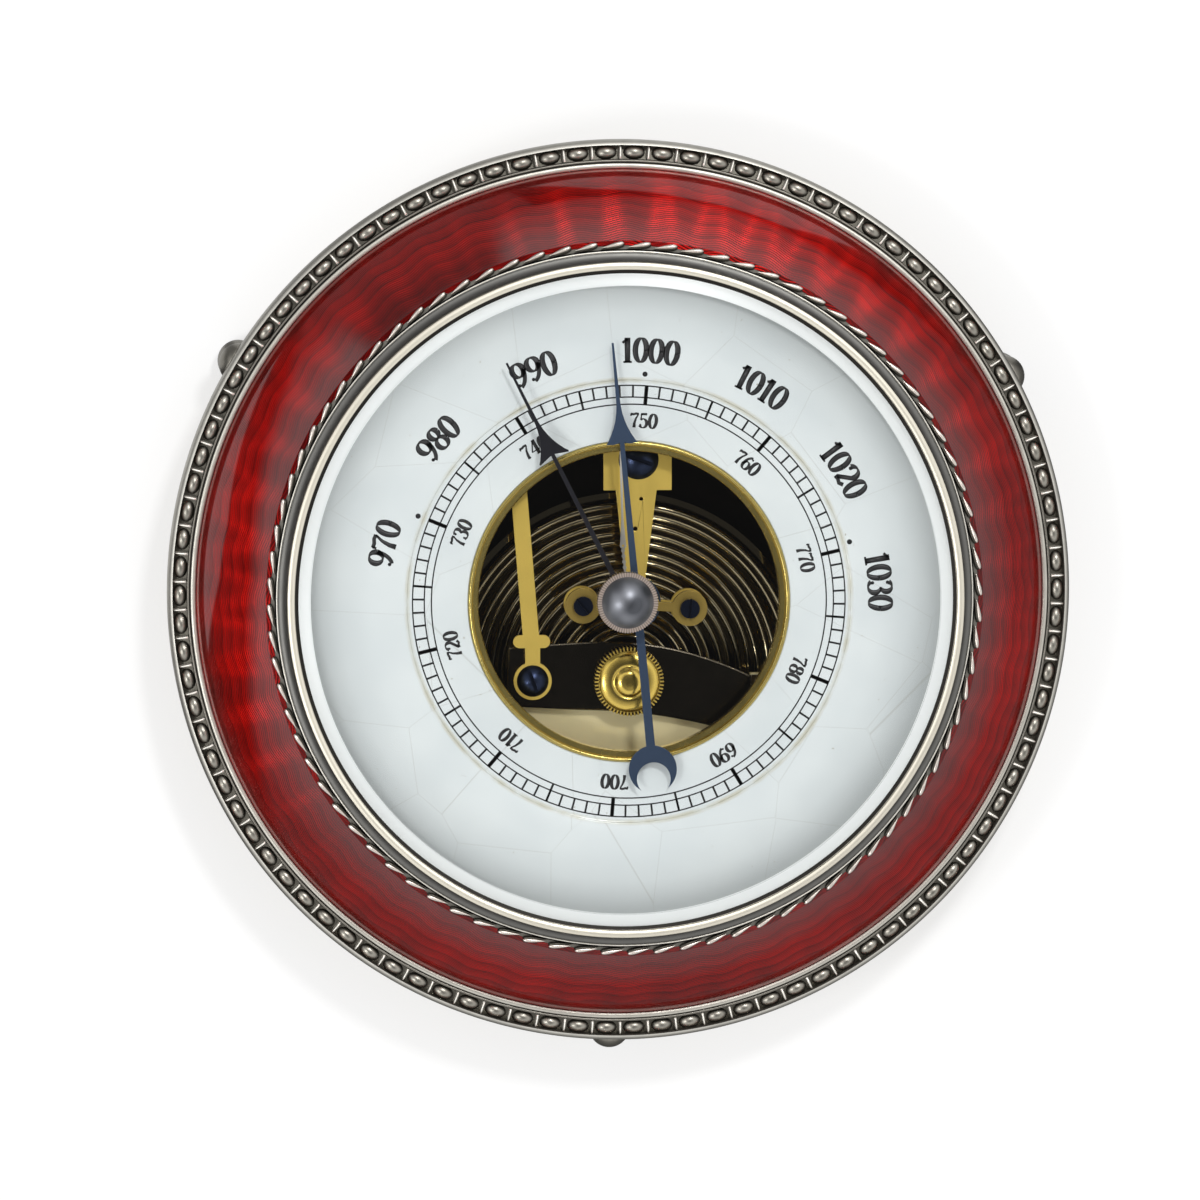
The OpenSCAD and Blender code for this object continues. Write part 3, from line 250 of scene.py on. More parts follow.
# %% [markdown]
# ## Brass and steel
# The movement is brass and steel in many states: sawn plate with a satin polish, turned brass with a
# sharp one, steel that was polished, blued over a flame or blackened, and bronzed sheet metal. They share
# one way of making, and differ in colour, roughness, and the dirt and painted shade in their hollows.

# %% Brass and steel finishes
# Lacquered brass of the levers and plates, with a satin polish
BRASS = metal("satin_brass", "E4C766", 0.46, "5A3C14", 0.8, 0.6, cloud=0.16, grain=0.004)
# The bridge plate is paler than the other brass, and its colour is raised further as painted light, for the
# light it catches
LIT_BRIDGE_BRASS = metal("pale_brass_painted_light", "FFF3C4", 0.5, "6A4C20", 0.6, 0.4, cloud=0.2, grain=0.003)
# The ear plate lies deeper, in shade, and that shade is painted into a darker, browner copy of the brass
SHADED_BRASS = metal("brass_painted_shade", "A8904C", 0.46, "3A2810", 0.8, 0.7, cloud=0.3)
# Turned brass of the bush in the glass and of the drum for the chain, polished on the lathe
TURNED_BRASS = metal("turned_brass", "DDC062", 0.22, "4A2E0C", 0.8, 0.7, cloud=0.15)
# The ring in the dial is turned brass that has gone dull in clouds
RING_BRASS = metal("dull_brass", "D8C272", 0.26, "3A2C10", 0.6, 0.8, cloud=0.35, grain=0.006)
# The clamp of the mainspring is brass that was browned
BROWNED_BRASS = metal("browned_brass", "4A3B26", 0.35, "14100A", 0.8, 0.5, cloud=0.3)
# Polished steel of the shaft, rod, chain, arbor, link and screw
STEEL = metal("polished_steel", "D2CFC8", 0.46, "2B2826", 0.8, 0.5)
# The mainspring is dark polished steel
SPRING_STEEL = metal("spring_steel", "544E43", 0.18, "14110E", 0.8, 0.5, cloud=0.3)
# Bronzed sheet metal of the capsule, polished on its corrugations
CAPSULE_METAL = metal("bronzed_sheet", "A89C7E", 0.07, "120E0A", 0.9, 0.85, cloud=0.35)
# Heat blued steel of the pointer and the hairspring, satin
BLUED = metal("blued_steel", "4A5A72", 0.46, "0B0E1C", 0.6, 0.3, cloud=0.25)
# Heat blued screws are darker and polished
BLUED_SCREW = metal("blued_screw", "2C3448", 0.3, "0B0E1C", 0.6, 0.4, cloud=0.4)
# Blackened steel of the set hand, satin
BLACK_STEEL = metal("blackened_steel", "35353A", 0.42, "0C0C0E", 0.6, 0.3)
# The base plate and the shaft's bracket are lacquered black
BLACK_LACQUER = metal("black_lacquer", "16130F", 0.3, "080706", 1.0, 0.5)
print("finishes so far:", len(bpy.data.materials))

# %% [markdown]
# ## Knurled edges
# The brass nut and the steel knob have fine teeth round their edge, cut so that fingers can grip them.
# The construction meshes hold the teeth. At this size their grooves would still look too light, because
# the lamps reach into them, so each material darkens its own grooves: a wave round the axis finds them.

# %% Nut and knob
# The axis of the capsule, on which the nut stands too
CAPSULE_AT = (1.0, -13.3)
NUT_TEETH = 58.0
KNOB_TEETH = 72.0


def grooves(tree, centre, teeth):
    """1 in the grooves of a knurled edge with that many teeth round a vertical axis."""
    place = add(tree, "ShaderNodeSeparateXYZ", object_coords(tree)).outputs
    x = add(tree, "SUBTRACT", place[0], centre[0])
    y = add(tree, "SUBTRACT", place[1], centre[1])
    turned = add(tree, "MULTIPLY", add(tree, "ARCTAN2", y, x), teeth)
    return add(tree, "ShaderNodeValToRGB", add(tree, "COSINE", turned), stops=[(0.0, 1.0), (0.6, 0.15)])


def nut_material():
    """Turned brass: the stepped dome is polished, and the toothed edge is rougher."""
    material, tree = new_material("knurled_brass")
    radius = radius_mm(tree, CAPSULE_AT)
    edge = by_length(tree, radius, (4.0, 0.0), (4.72, 0.0), (4.8, 1.0), (6.0, 1.0))
    groove = add(tree, "MULTIPLY", grooves(tree, CAPSULE_AT, NUT_TEETH), edge)
    base = laid_over(tree, srgb("DDC062"), srgb("2E1F08"), groove)
    rough = add(tree, "MULTIPLY_ADD", edge, 0.3, 0.22)
    shader = add(tree, "ShaderNodeBsdfPrincipled", {"Base Color": base, "Metallic": 1.0, "Roughness": rough})
    add(tree, "ShaderNodeOutputMaterial", {"Surface": shader})
    return material


def knob_material():
    """Dark polished dome in a pale knurled rim: one piece of steel, so one material."""
    material, tree = new_material("knob_steel")
    clouds = add(tree, "ShaderNodeTexNoise", {"Vector": object_coords(tree), "Scale": 0.2, "Detail": 1.0})
    dome = add(tree, "ShaderNodeValToRGB", clouds, stops=[(0.35, srgb("55575C")), (0.6, srgb("8E9096"))])
    rim = by_length(tree, radius_mm(tree), (3.0, 0.0), (3.92, 0.0), (4.02, 1.0), (5.0, 1.0))
    edge = laid_over(tree, srgb("D3C2B6"), srgb("4A403A"), grooves(tree, (0.0, 0.0), KNOB_TEETH), 0.55)
    rough = add(tree, "MULTIPLY_ADD", rim, 0.02, 0.4)
    base = laid_over(tree, dome, edge, rim)
    shader = add(tree, "ShaderNodeBsdfPrincipled", {"Base Color": base, "Metallic": 1.0, "Roughness": rough})
    add(tree, "ShaderNodeOutputMaterial", {"Surface": shader})
    return material


KNOB_STEEL = knob_material()
NUT_BRASS = nut_material()
print("all metals:", len(bpy.data.materials))

# %% [markdown]
# ## Pieces
# A piece is a closed mesh whose place lies in its points, so its object stays at the origin. Doubles are
# merged, the normals turned outwards, and only the sharp edges kept sharp. Then the piece is hung on its
# body, which is what moves when a joint moves, and takes the place of its twin in the construction model.

# %% From points to a piece


def link(obj):
    bpy.context.scene.collection.objects.link(obj)
    return obj


def finish_mesh(mesh, smooth_deg):
    """Merges doubles, turns the normals outwards, and smooths all but the sharp edges."""
    work = bmesh.new()
    work.from_mesh(mesh)
    bmesh.ops.remove_doubles(work, verts=work.verts, dist=1e-7)
    bmesh.ops.dissolve_degenerate(work, edges=work.edges, dist=1e-8)
    bmesh.ops.recalc_face_normals(work, faces=work.faces)
    work.to_mesh(mesh)
    work.free()
    mesh.shade_smooth()
    mesh.set_sharp_from_angle(angle=math.radians(smooth_deg))


def settle(obj, stands_for):
    """Hangs a finished piece on the case. All pieces drawn here belong to it."""
    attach(obj, "case")
    if stands_for:
        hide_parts(*stands_for)
    print(f"{obj.name}: {len(obj.data.polygons)} faces")


def piece(name, points, faces, material, stands_for=(), smooth_deg=32):
    """A mesh piece, in millimetres, that stands for construction nodes."""
    mesh = bpy.data.meshes.new(name)
    mesh.from_pydata([[c * MM for c in p] for p in points], [], faces)
    finish_mesh(mesh, smooth_deg)
    mesh.materials.append(material)
    obj = link(bpy.data.objects.new(name, mesh))
    settle(obj, stands_for)
    return obj


# %% [markdown]
# ## Turned pieces
# Most of the object was made on a lathe. So is its model: a profile of (radius, height) points is spun
# round an axis. Two helpers draw the round stretches of a profile. A third writes a UV map with turns
# round the axis and millimetres along the profile, for a pattern that has to follow the ring.

# %% Profiles and turning


def arc(centre_r, centre_z, radius, start, end, steps):
    """Points of an arc in a profile, angles in degrees."""
    turn = [math.radians(start + (end - start) * i / steps) for i in range(steps + 1)]
    return [(centre_r + radius * math.cos(a), centre_z + radius * math.sin(a)) for a in turn]


def bulge(p, q, rise, steps, inset=0.0):
    """Points from p to q on an arc that rises to the outside, moved inwards by inset."""
    (px, pz), (qx, qz) = p, q
    length = math.hypot(qx - px, qz - pz)
    radius = (length * length / 4 + rise * rise) / (2 * rise)
    nx, nz = (qz - pz) / length, -(qx - px) / length
    cx, cz = (px + qx) / 2 - nx * (radius - rise), (pz + qz) / 2 - nz * (radius - rise)
    a0, a1 = math.atan2(pz - cz, px - cx), math.atan2(qz - cz, qx - cx)
    turn = [a0 + (a1 - a0) * i / steps for i in range(steps + 1)]
    return [(cx + (radius - inset) * math.cos(a), cz + (radius - inset) * math.sin(a)) for a in turn]


def revolve(name, profile, material, segments=256, closed=True, centre=(0, 0), smooth_deg=32, stands_for=()):
    """A profile of (radius, height) points spun round a vertical axis."""
    count = len(profile)
    spans = count if closed else count - 1
    points = [
        (centre[0] + r * math.cos(TAU * i / segments), centre[1] + r * math.sin(TAU * i / segments), z)
        for i in range(segments)
        for r, z in profile
    ]
    faces = [
        (i * count + j, (i + 1) % segments * count + j, (i + 1) % segments * count + k, i * count + k)
        for i in range(segments)
        for j in range(spans)
        for k in [(j + 1) % count]
    ]
    return piece(name, points, faces, material, stands_for, smooth_deg)


def add_turning_map(obj, profile_start):
    """UV map of a revolved piece: x in turns, y the distance in mm from the profile's start circle."""
    mesh = obj.data
    layer = mesh.uv_layers.new(name="turning")
    r0, z0 = profile_start
    for face in mesh.polygons:
        middle = face.center
        mid_turn = math.atan2(middle.y, middle.x) / TAU
        for loop in face.loop_indices:
            co = mesh.vertices[mesh.loops[loop].vertex_index].co / MM
            turn = math.atan2(co.y, co.x) / TAU
            turn += round(mid_turn - turn)
            layer.data[loop].uv = (turn, math.hypot(math.hypot(co.x, co.y) - r0, co.z - z0))


# %% [markdown]
# ## The rim
# One turned ring: a plain outer fillet, a channel for the beads, and a double fillet inside it. Its
# fillets are short arcs, because a flat band would catch the light all at once.

# %% Rim
RIM_R = 70.0
RIM_LOW = 12.2
RIM_IN = 63.8
CHANNEL_IN, CHANNEL_OUT = 67.0, 69.1
CHANNEL_FLOOR = 13.4
SEAT_R = 65.6
SEAT_Z = 13.6
rim_profile = (
    [(RIM_IN, RIM_LOW), (69.3, RIM_LOW), (69.3, 11.6), (69.6, 11.5)]
    + arc(69.6, 11.9, 0.4, -90, 0, 6)[1:]
    + [(RIM_R, 13.4)]
    + bulge((69.95, 13.8), (69.2, 14.95), 0.26, 8)
    + [(CHANNEL_OUT, CHANNEL_FLOOR - 0.2), (CHANNEL_IN, CHANNEL_FLOOR + 0.2)]
    + arc(66.76, 14.65, 0.24, 0, 180, 8)
    + [(66.5, 14.9)]
    + bulge((66.45, 15.1), (65.65, 15.12), 0.13, 8)
    + [(SEAT_R, 15.0), (SEAT_R, SEAT_Z), (RIM_IN, SEAT_Z)]
)
revolve("rim_ring", rim_profile, SILVER, segments=360, stands_for=["rim"])

# %% [markdown]
# ## What repeats round a ring
# Pearls, bars, rope lobes and scale lines all stand at equal angles round a circle. Copying them by hand
# would be dull and exact spacing hard, so a Geometry Nodes tree does it: it sets one item on each of
# Count points and turns it to face the middle. The sizes are inputs of the tree, so one tree serves many
# rings. The result is made a plain mesh, because copies that exist only in the tree would be lost.

# %% A tree of copies


def ring_tree(name, build_item, material, sizes):
    """A tree that sets one item at equal angles round the Z axis. sizes name the item's own inputs."""
    tree = bpy.data.node_groups.new(name, "GeometryNodeTree")
    tree.interface.new_socket("Geometry", in_out="OUTPUT", socket_type="NodeSocketGeometry")
    tree.interface.new_socket("Count", in_out="INPUT", socket_type="NodeSocketInt")
    for label in ["Radius", "Height", "First angle", *sizes]:
        tree.interface.new_socket(label, in_out="INPUT", socket_type="NodeSocketFloat")
    given = add(tree, "NodeGroupInput").outputs
    step = add(tree, "DIVIDE", TAU, given["Count"])
    angle = add(tree, "MULTIPLY_ADD", add(tree, "GeometryNodeInputIndex"), step, given["First angle"])
    x = add(tree, "MULTIPLY", add(tree, "COSINE", angle), given["Radius"])
    y = add(tree, "MULTIPLY", add(tree, "SINE", angle), given["Radius"])
    place = add(tree, "ShaderNodeCombineXYZ", x, y, given["Height"])
    turned = add(tree, "ShaderNodeCombineXYZ", {"Z": angle})
    dots = add(tree, "GeometryNodePoints", {"Count": given["Count"], "Position": place})
    placing = {"Points": dots, "Instance": build_item(tree, given), "Rotation": turned}
    copies = add(tree, "GeometryNodeInstanceOnPoints", placing)
    real = add(tree, "GeometryNodeRealizeInstances", {"Geometry": copies})
    done = add(tree, "GeometryNodeSetMaterial", {"Geometry": real, "Material": material})
    add(tree, "NodeGroupOutput", {"Geometry": done})
    return tree


def scaled(tree, geometry, x, y, z, turn=0.0):
    """Geometry scaled along its axes, then turned about Z."""
    size = add(tree, "ShaderNodeCombineXYZ", x, y, z)
    turned = add(tree, "ShaderNodeCombineXYZ", {"Z": turn})
    return add(tree, "GeometryNodeTransform", {"Geometry": geometry, "Scale": size, "Rotation": turned})


def grown(name, tree, values, stands_for=()):
    """The tree's result as a plain mesh piece. Angles are in degrees, all else in mm."""
    seed = link(bpy.data.objects.new(name + "_seed", bpy.data.meshes.new(name + "_seed")))
    modifier = seed.modifiers.new("grow", "NODES")
    modifier.node_group = tree
    for item in tree.interface.items_tree:
        if item.in_out == "INPUT":
            value = values[item.name]
            if item.name == "Count":
                modifier[item.identifier] = value
            elif "angle" in item.name:
                modifier[item.identifier] = math.radians(value)
            else:
                modifier[item.identifier] = value * MM
    mesh = bpy.data.meshes.new_from_object(seed.evaluated_get(bpy.context.evaluated_depsgraph_get()))
    bpy.data.objects.remove(seed)
    mesh.name = name
    mesh.shade_smooth()
    mesh.set_sharp_from_angle(angle=math.radians(40))
    obj = link(bpy.data.objects.new(name, mesh))
    settle(obj, stands_for)
    return obj


# %% [markdown]
# ## The bead border
# Ninety-eight oval pearls lie in the rim's channel, with a thin bar between each two. A pearl is a
# stretched ball. A bar starts from a ball too: a power curve flattens its top, and its inner end is
# spread into a foot. Both have few faces, because there are so many of them.

# %% Pearls and bars
BEADS = 98
BEAD_RING_R = 68.05
HALF_SIZES = ["Half width", "Half length", "Half height"]


def pearl_item(tree, given):
    ball = add(tree, "GeometryNodeMeshUVSphere", 16, 12, 1.0)
    return scaled(tree, ball, given["Half width"], given["Half length"], given["Half height"])


def bar_item(tree, given):
    """A bar with a flat top that spreads into a foot at its inner end."""
    # Shares of the ball's radius: the bar's waist, where its foot starts, and how fast the foot spreads
    waist, foot_from, foot_spread = 0.85, -0.2, 2.2
    # The power that flattens the top: 1 leaves it round
    flatness = 0.35
    block = add(tree, "GeometryNodeMeshUVSphere", 12, 8, 1.0)
    at = add(tree, "ShaderNodeSeparateXYZ", add(tree, "GeometryNodeInputPosition")).outputs
    inner = add(tree, "MINIMUM", add(tree, "SUBTRACT", at[0], foot_from), 0.0)
    spread = add(tree, "MULTIPLY_ADD", add(tree, "MULTIPLY", inner, inner), foot_spread, waist)
    y = add(tree, "MULTIPLY", at[1], spread)
    raised = add(tree, "POWER", add(tree, "ABSOLUTE", at[2]), flatness)
    z = add(tree, "MULTIPLY", add(tree, "SIGN", at[2]), raised)
    moved = add(tree, "ShaderNodeCombineXYZ", at[0], y, z)
    shaped = add(tree, "GeometryNodeSetPosition", {"Geometry": block, "Position": moved})
    return scaled(tree, shaped, given["Half length"], given["Half width"], given["Half height"])


pearl_sizes = {
    "Count": BEADS,
    "Radius": BEAD_RING_R,
    "Height": 13.35,
    "First angle": 0,
    "Half width": 1.16,
    "Half length": 1.72,
    "Half height": 1.15,
}
bar_sizes = {
    "Count": BEADS,
    "Radius": BEAD_RING_R,
    "Height": 13.85,
    "First angle": 180 / BEADS,
    "Half width": 0.27,
    "Half length": 1.12,
    "Half height": 1.0,
}
pearl_tree = ring_tree("pearls", pearl_item, PEARL_SILVER, HALF_SIZES)
pearls = grown("bead_border_pearls", pearl_tree, pearl_sizes, ["bead_border"])
bar_tree = ring_tree("bars", bar_item, RUBBED_SILVER, HALF_SIZES)
bars = grown("bead_border_bars", bar_tree, bar_sizes, ["bead_frame"])
# Both would show as specks in the enamel's foot, where the real one mirrors only the plain rim
pearls.visible_glossy = False
bars.visible_glossy = False

# %% [markdown]
# ## The engine turning
# Under the red enamel the silver is cut by a rose engine: fine wavy lines, all in step, in rows that are
# parted by deeper cuts along the same wave. They are far too fine to model, so the shader makes them
# from the ring's UV map: a cosine of the turns bends the lines, a sine of the distance repeats them.

# %% Lines, rows and deep cuts
WAVES = 48
WAVE_MM = 0.34
LINE_MM = 0.36
ROW_MM = 2.15


def engine_turning(tree):
    """Patterns of the cut silver: wave phase, distance along the profile, lines, painted row shade, gaps."""
    split = add(tree, "ShaderNodeSeparateXYZ", add(tree, "ShaderNodeUVMap", uv_map="turning")).outputs
    turn, along = split[0], split[1]
    phase = add(tree, "MULTIPLY", turn, WAVES * TAU)
    shifted = add(tree, "MULTIPLY_ADD", add(tree, "COSINE", phase), WAVE_MM, along)
    # The first millimetres at the rim are too steep to show any line
    shown = by_length(tree, along, (0.8, 0.0), (3.0, 1.0))
    lines = add(tree, "SINE", add(tree, "MULTIPLY", shifted, TAU / LINE_MM))
    lines = add(tree, "MULTIPLY", lines, shown)
    across_row = add(tree, "FRACT", add(tree, "DIVIDE", shifted, ROW_MM))
    from_middle = add(tree, "ABSOLUTE", add(tree, "MULTIPLY_ADD", across_row, 2.0, -1.0))
    # The third cut is the deepest, those nearer the dial grow faint, and all are worn in places
    deep = by_length(tree, along, (3.0, 0.1), (5.4, 1.0), (7.2, 1.0), (8.7, 0.6), (13.5, 0.25))
    wear = add(tree, "ShaderNodeTexNoise", {"Vector": object_coords(tree), "Scale": 0.12, "Detail": 3.0})
    worn = add(tree, "ShaderNodeValToRGB", wear, stops=[(0.38, 0.2), (0.62, 1.0)])
    gaps = add(tree, "MULTIPLY", add(tree, "POWER", from_middle, 6.0), deep)
    gaps = add(tree, "MULTIPLY", gaps, worn)
    # Painted shade across each row: none at its outer border, most at its inner one
    painted_row_shade = add(tree, "MULTIPLY", across_row, shown)
    return phase, along, lines, painted_row_shade, gaps


# %% [markdown]
# ## The enamel
# The enamel is clear red glass, so we see the cut metal through a smooth glossy surface. It could be two
# surfaces, one in the other, but one shader does both and renders faster: a red metal with the pattern in
# its normals, and a clear coat without it. The metal is anisotropic, as cut lines are.

# %% Enamel ring
ENAMEL_LOW = (65.58, 15.05)
ENAMEL_HIGH = (55.1, 25.4)
ENAMEL_CROWN = 1.3
ENAMEL_THICK = 0.45
ENAMEL_STEPS = 24
# The red is the enamel's own; its change along the ring is painted light and shade, brightest a few mm in
# from the rim and darker towards the dial, where the glints fade
ENAMEL_REDS_AND_SHADE = [(0.0, "B00602"), (3.75, "F8170A"), (7.5, "E61208"), (13.5, "8E0C05")]
# The groove red darkens the cut lines, and is also the painted shade across each row
GROOVE_AND_SHADE_RED, GAP_RED, PATCH_RED = "4A0304", "1C0001", "5A0406"


def enamel_material():
    """Translucent red enamel, fired over engine turned silver and polished."""
    material, tree = new_material("red_guilloche_enamel")
    phase, along, lines, painted_row_shade, gaps = engine_turning(tree)
    # The enamel's red, with painted light and shade along the ring
    colour = by_length(tree, along, *[(at, srgb(code)) for at, code in ENAMEL_REDS_AND_SHADE])
    colour = laid_over(tree, colour, srgb(GROOVE_AND_SHADE_RED), add(tree, "MULTIPLY_ADD", lines, 0.22, 0.22))
    # Painted glints: each row is left brightest beside its outer border, and painted shade darkens it inwards
    colour = laid_over(tree, colour, srgb(GROOVE_AND_SHADE_RED), painted_row_shade, 0.5)
    colour = laid_over(tree, colour, srgb(GAP_RED), gaps, 0.9)
    # The enamel isn't equally thick all round
    patches = add(tree, "ShaderNodeTexNoise", {"Vector": object_coords(tree), "Scale": 0.06, "Detail": 2.0})
    thicker = add(tree, "ShaderNodeValToRGB", patches, stops=[(0.35, 0.0), (0.7, 0.35)])
    colour = laid_over(tree, colour, srgb(PATCH_RED), thicker)
    height = add(tree, "MULTIPLY_ADD", lines, 0.5, add(tree, "MULTIPLY", gaps, -1.6))
    looks = {
        "Base Color": colour,
        "Metallic": 1.0,
        "Roughness": 0.36,
        "Anisotropic": 0.8,
        # The cut lines lean with the wave, so each row glints where it faces a lamp
        "Anisotropic Rotation": add(tree, "MULTIPLY_ADD", add(tree, "SINE", phase), 0.05, 0.19),
        "Tangent": add(tree, "ShaderNodeTangent", direction_type="UV_MAP", uv_map="turning"),
        "Normal": add(tree, "ShaderNodeBump", {"Height": height, "Distance": 0.05 * MM, "Strength": 0.8}),
        "Coat Weight": 1.0,
        "Coat Roughness": 0.07,
        "Coat IOR": 1.62,
    }
    shader = add(tree, "ShaderNodeBsdfPrincipled", looks)
    add(tree, "ShaderNodeOutputMaterial", {"Surface": shader})
    return material


skin = bulge(ENAMEL_LOW, ENAMEL_HIGH, ENAMEL_CROWN, ENAMEL_STEPS)
lip = [(54.35, 25.5), (54.35, 25.42)]
back = bulge(ENAMEL_LOW, ENAMEL_HIGH, ENAMEL_CROWN, ENAMEL_STEPS, ENAMEL_THICK)
enamel = revolve(
    "enamel_ring", skin + lip + back[::-1], enamel_material(), 384, smooth_deg=15, stands_for=["enamel"]
)
add_turning_map(enamel, ENAMEL_LOW)

# %% [markdown]
# ## The rope moulding
# A row of slanted leaves lies between the enamel and the bezel. Each is a ball drawn out to a thin tail,
# and the same tree that placed the pearls places them. Their rubbed edges are a second ring of smaller
# leaves that stand a little proud, so that the bright line runs along the outer side.

# %% Rope
ROPE_LOBES = 84
LOBE_SIZES = [*HALF_SIZES, "Slant angle"]


def lobe_item(tree, given):
    """A lobe that is broad and high at its clockwise end and tapers to a thin tail at the other."""
    ball = add(tree, "GeometryNodeMeshUVSphere", 18, 14, 1.0)
    at = add(tree, "ShaderNodeSeparateXYZ", add(tree, "GeometryNodeInputPosition")).outputs
    middle, narrowing = 0.6, -0.42
    taper = add(tree, "MULTIPLY_ADD", at[1], narrowing, middle)
    x = add(tree, "MULTIPLY", at[0], taper)
    z = add(tree, "MULTIPLY", at[2], taper)
    moved = add(tree, "ShaderNodeCombineXYZ", x, at[1], z)
    shaped = add(tree, "GeometryNodeSetPosition", {"Geometry": ball, "Position": moved})
    width, length, height = (given[size] for size in HALF_SIZES)
    return scaled(tree, shaped, width, length, height, given["Slant angle"])


lobe_sizes = {
    "Count": ROPE_LOBES,
    "Radius": 54.1,
    "Height": 25.45,
    "First angle": 180 / ROPE_LOBES,
    "Half width": 0.55,
    "Half length": 1.95,
    "Half height": 0.8,
    "Slant angle": 10,
}
tip_sizes = {
    "Count": ROPE_LOBES,
    "Radius": 54.42,
    "Height": 25.75,
    "First angle": 174 / ROPE_LOBES,
    "Half width": 0.5,
    "Half length": 1.75,
    "Half height": 0.5,
    "Slant angle": 11,
}
rope_tree = ring_tree("rope", lobe_item, ROPE_SILVER, LOBE_SIZES)
grown("rope_border_lobes", rope_tree, lobe_sizes, ["rope_border"])
grown("rope_border_tips", ring_tree("tips", lobe_item, TIP_SILVER, LOBE_SIZES), tip_sizes)

# %% [markdown]
# ## The bezel
# A turned ring that holds the glass down with its lip. From outside: a thin bright bead, a dark hollow,
# and a bright fillet beside the glass. It could be bent from a curve with a bevel, but turning its
# profile is exact, as on the lathe.

# %% Bezel
BEZEL_FOOT = 24.0
bezel_profile = (
    [(52.5, 25.35), (53.75, 25.35), (53.75, 25.55)]
    + arc(53.45, 25.68, 0.15, 0, 180, 8)
    + [(53.2, 25.7)]
    + arc(53.35, 27.3, 1.45, 262, 186, 14)
    + [(51.9, 27.5)]
    + bulge((51.88, 28.3), (50.86, 28.3), 0.14, 10)
    + [(50.82, 27.75), (50.25, 27.6), (50.2, 27.5), (51.5, 27.2), (51.5, BEZEL_FOOT), (52.5, BEZEL_FOOT)]
)
revolve("bezel_ring", bezel_profile, BEZEL_SILVER, segments=384, stands_for=["bezel"])

# %% [markdown]
# ## The white enamel
# The dial is white enamel on copper. A plain white would look like paper. What makes it enamel is the
# gloss, and what makes it old are three thin layers over the white: fine specks, a few hair cracks, and a
# yellow line of dirt along the step. Round its edge, under the glass, shade is painted in too.

# %% Sizes and enamel of the dial
DIAL_TOP = 23.0
DIAL_LOW = 21.8
DIAL_R = 51.0
DIAL_AT = (0.7, -0.5)
OPEN_R = 24.8
SUNK_R = 34.2
SUNK_TOP = DIAL_TOP - 0.35


def dial_material():
    """Fired white enamel, its gloss a little dulled, with painted shade round its edge under the glass."""
    material, tree = new_material("white_dial_enamel")
    where = object_coords(tree)
    clouds = add(tree, "ShaderNodeTexNoise", {"Vector": where, "Scale": 0.08, "Detail": 4.0})
    clouded = add(tree, "ShaderNodeValToRGB", clouds, stops=[(0.35, 0.0), (0.7, 1.0)])
    base = laid_over(tree, srgb("E3EAEA"), srgb("D9E1E2"), clouded)
    # Painted shade round the edge of the dial, where the bezel and the glass keep light off it
    bezel_shade = by_length(tree, radius_mm(tree), (39.0, 0.0), (43.8, 0.2), (46.5, 0.5), (48.2, 0.7), (51.0, 0.7))
    base = laid_over(tree, base, srgb("A9AFAF"), bezel_shade)
    dots = add(tree, "ShaderNodeTexNoise", {"Vector": where, "Scale": 1.6, "Detail": 1.0})
    specks = add(tree, "ShaderNodeValToRGB", dots, stops=[(0.0, 0.0), (0.77, 0.0), (0.82, 1.0)])
    base = laid_over(tree, base, srgb("8B7F63"), specks, 0.6)
    # Hair cracks run along the borders of large cells
    cells = add(tree, "ShaderNodeTexVoronoi", {"Vector": where, "Scale": 0.06}, feature="DISTANCE_TO_EDGE")
    crack = add(tree, "ShaderNodeValToRGB", cells, stops=[(0.0, 1.0), (0.004, 0.0)])
    base = laid_over(tree, base, srgb("8E8A7C"), crack, 0.28)
    step = by_length(tree, radius_mm(tree, DIAL_AT), (33.6, 0.0), (34.0, 0.8), (34.25, 0.8), (34.7, 0.0))
    stains = add(tree, "ShaderNodeTexNoise", {"Vector": where, "Scale": 0.25, "Detail": 3.0})
    patchy = add(tree, "ShaderNodeValToRGB", stains, stops=[(0.35, 0.15), (0.6, 0.75)])
    base = laid_over(tree, base, srgb("B9B290"), add(tree, "MULTIPLY", step, patchy))
    looks = {"Base Color": base, "Roughness": 0.35, "Coat Weight": 0.5, "Coat Roughness": 0.12}
    shader = add(tree, "ShaderNodeBsdfPrincipled", looks)
    add(tree, "ShaderNodeOutputMaterial", {"Surface": shader})
    return material


# %% [markdown]
# ## The dial
# Its middle is open, sunk, and a little to one side, as on the real object. The opening could be cut
# with a boolean. Building the disc from circles, each with its own centre, keeps the mesh clean.

# %% Dial
# Each circle of the dial: how much of the middle's offset it takes, its radius and its height
dial_rings = [
    (1.0, OPEN_R, DIAL_LOW),
    (1.0, OPEN_R, SUNK_TOP - 0.1),
    (1.0, OPEN_R + 0.1, SUNK_TOP),
    (1.0, SUNK_R - 0.3, SUNK_TOP),
    (1.0, SUNK_R - 0.1, SUNK_TOP + 0.08),
    (1.0, SUNK_R, DIAL_TOP - 0.08),
    (1.0, SUNK_R + 0.15, DIAL_TOP),
    (0.5, 43.0, DIAL_TOP),
    (0.0, DIAL_R - 0.3, DIAL_TOP),
    (0.0, DIAL_R, DIAL_TOP - 0.3),
    (0.0, DIAL_R, DIAL_LOW),
]
DIAL_SEGMENTS = 256
dial_points = [
    (DIAL_AT[0] * share + radius * math.cos(turn), DIAL_AT[1] * share + radius * math.sin(turn), z)
    for turn in [TAU * i / DIAL_SEGMENTS for i in range(DIAL_SEGMENTS)]
    for share, radius, z in dial_rings
]
rings = len(dial_rings)
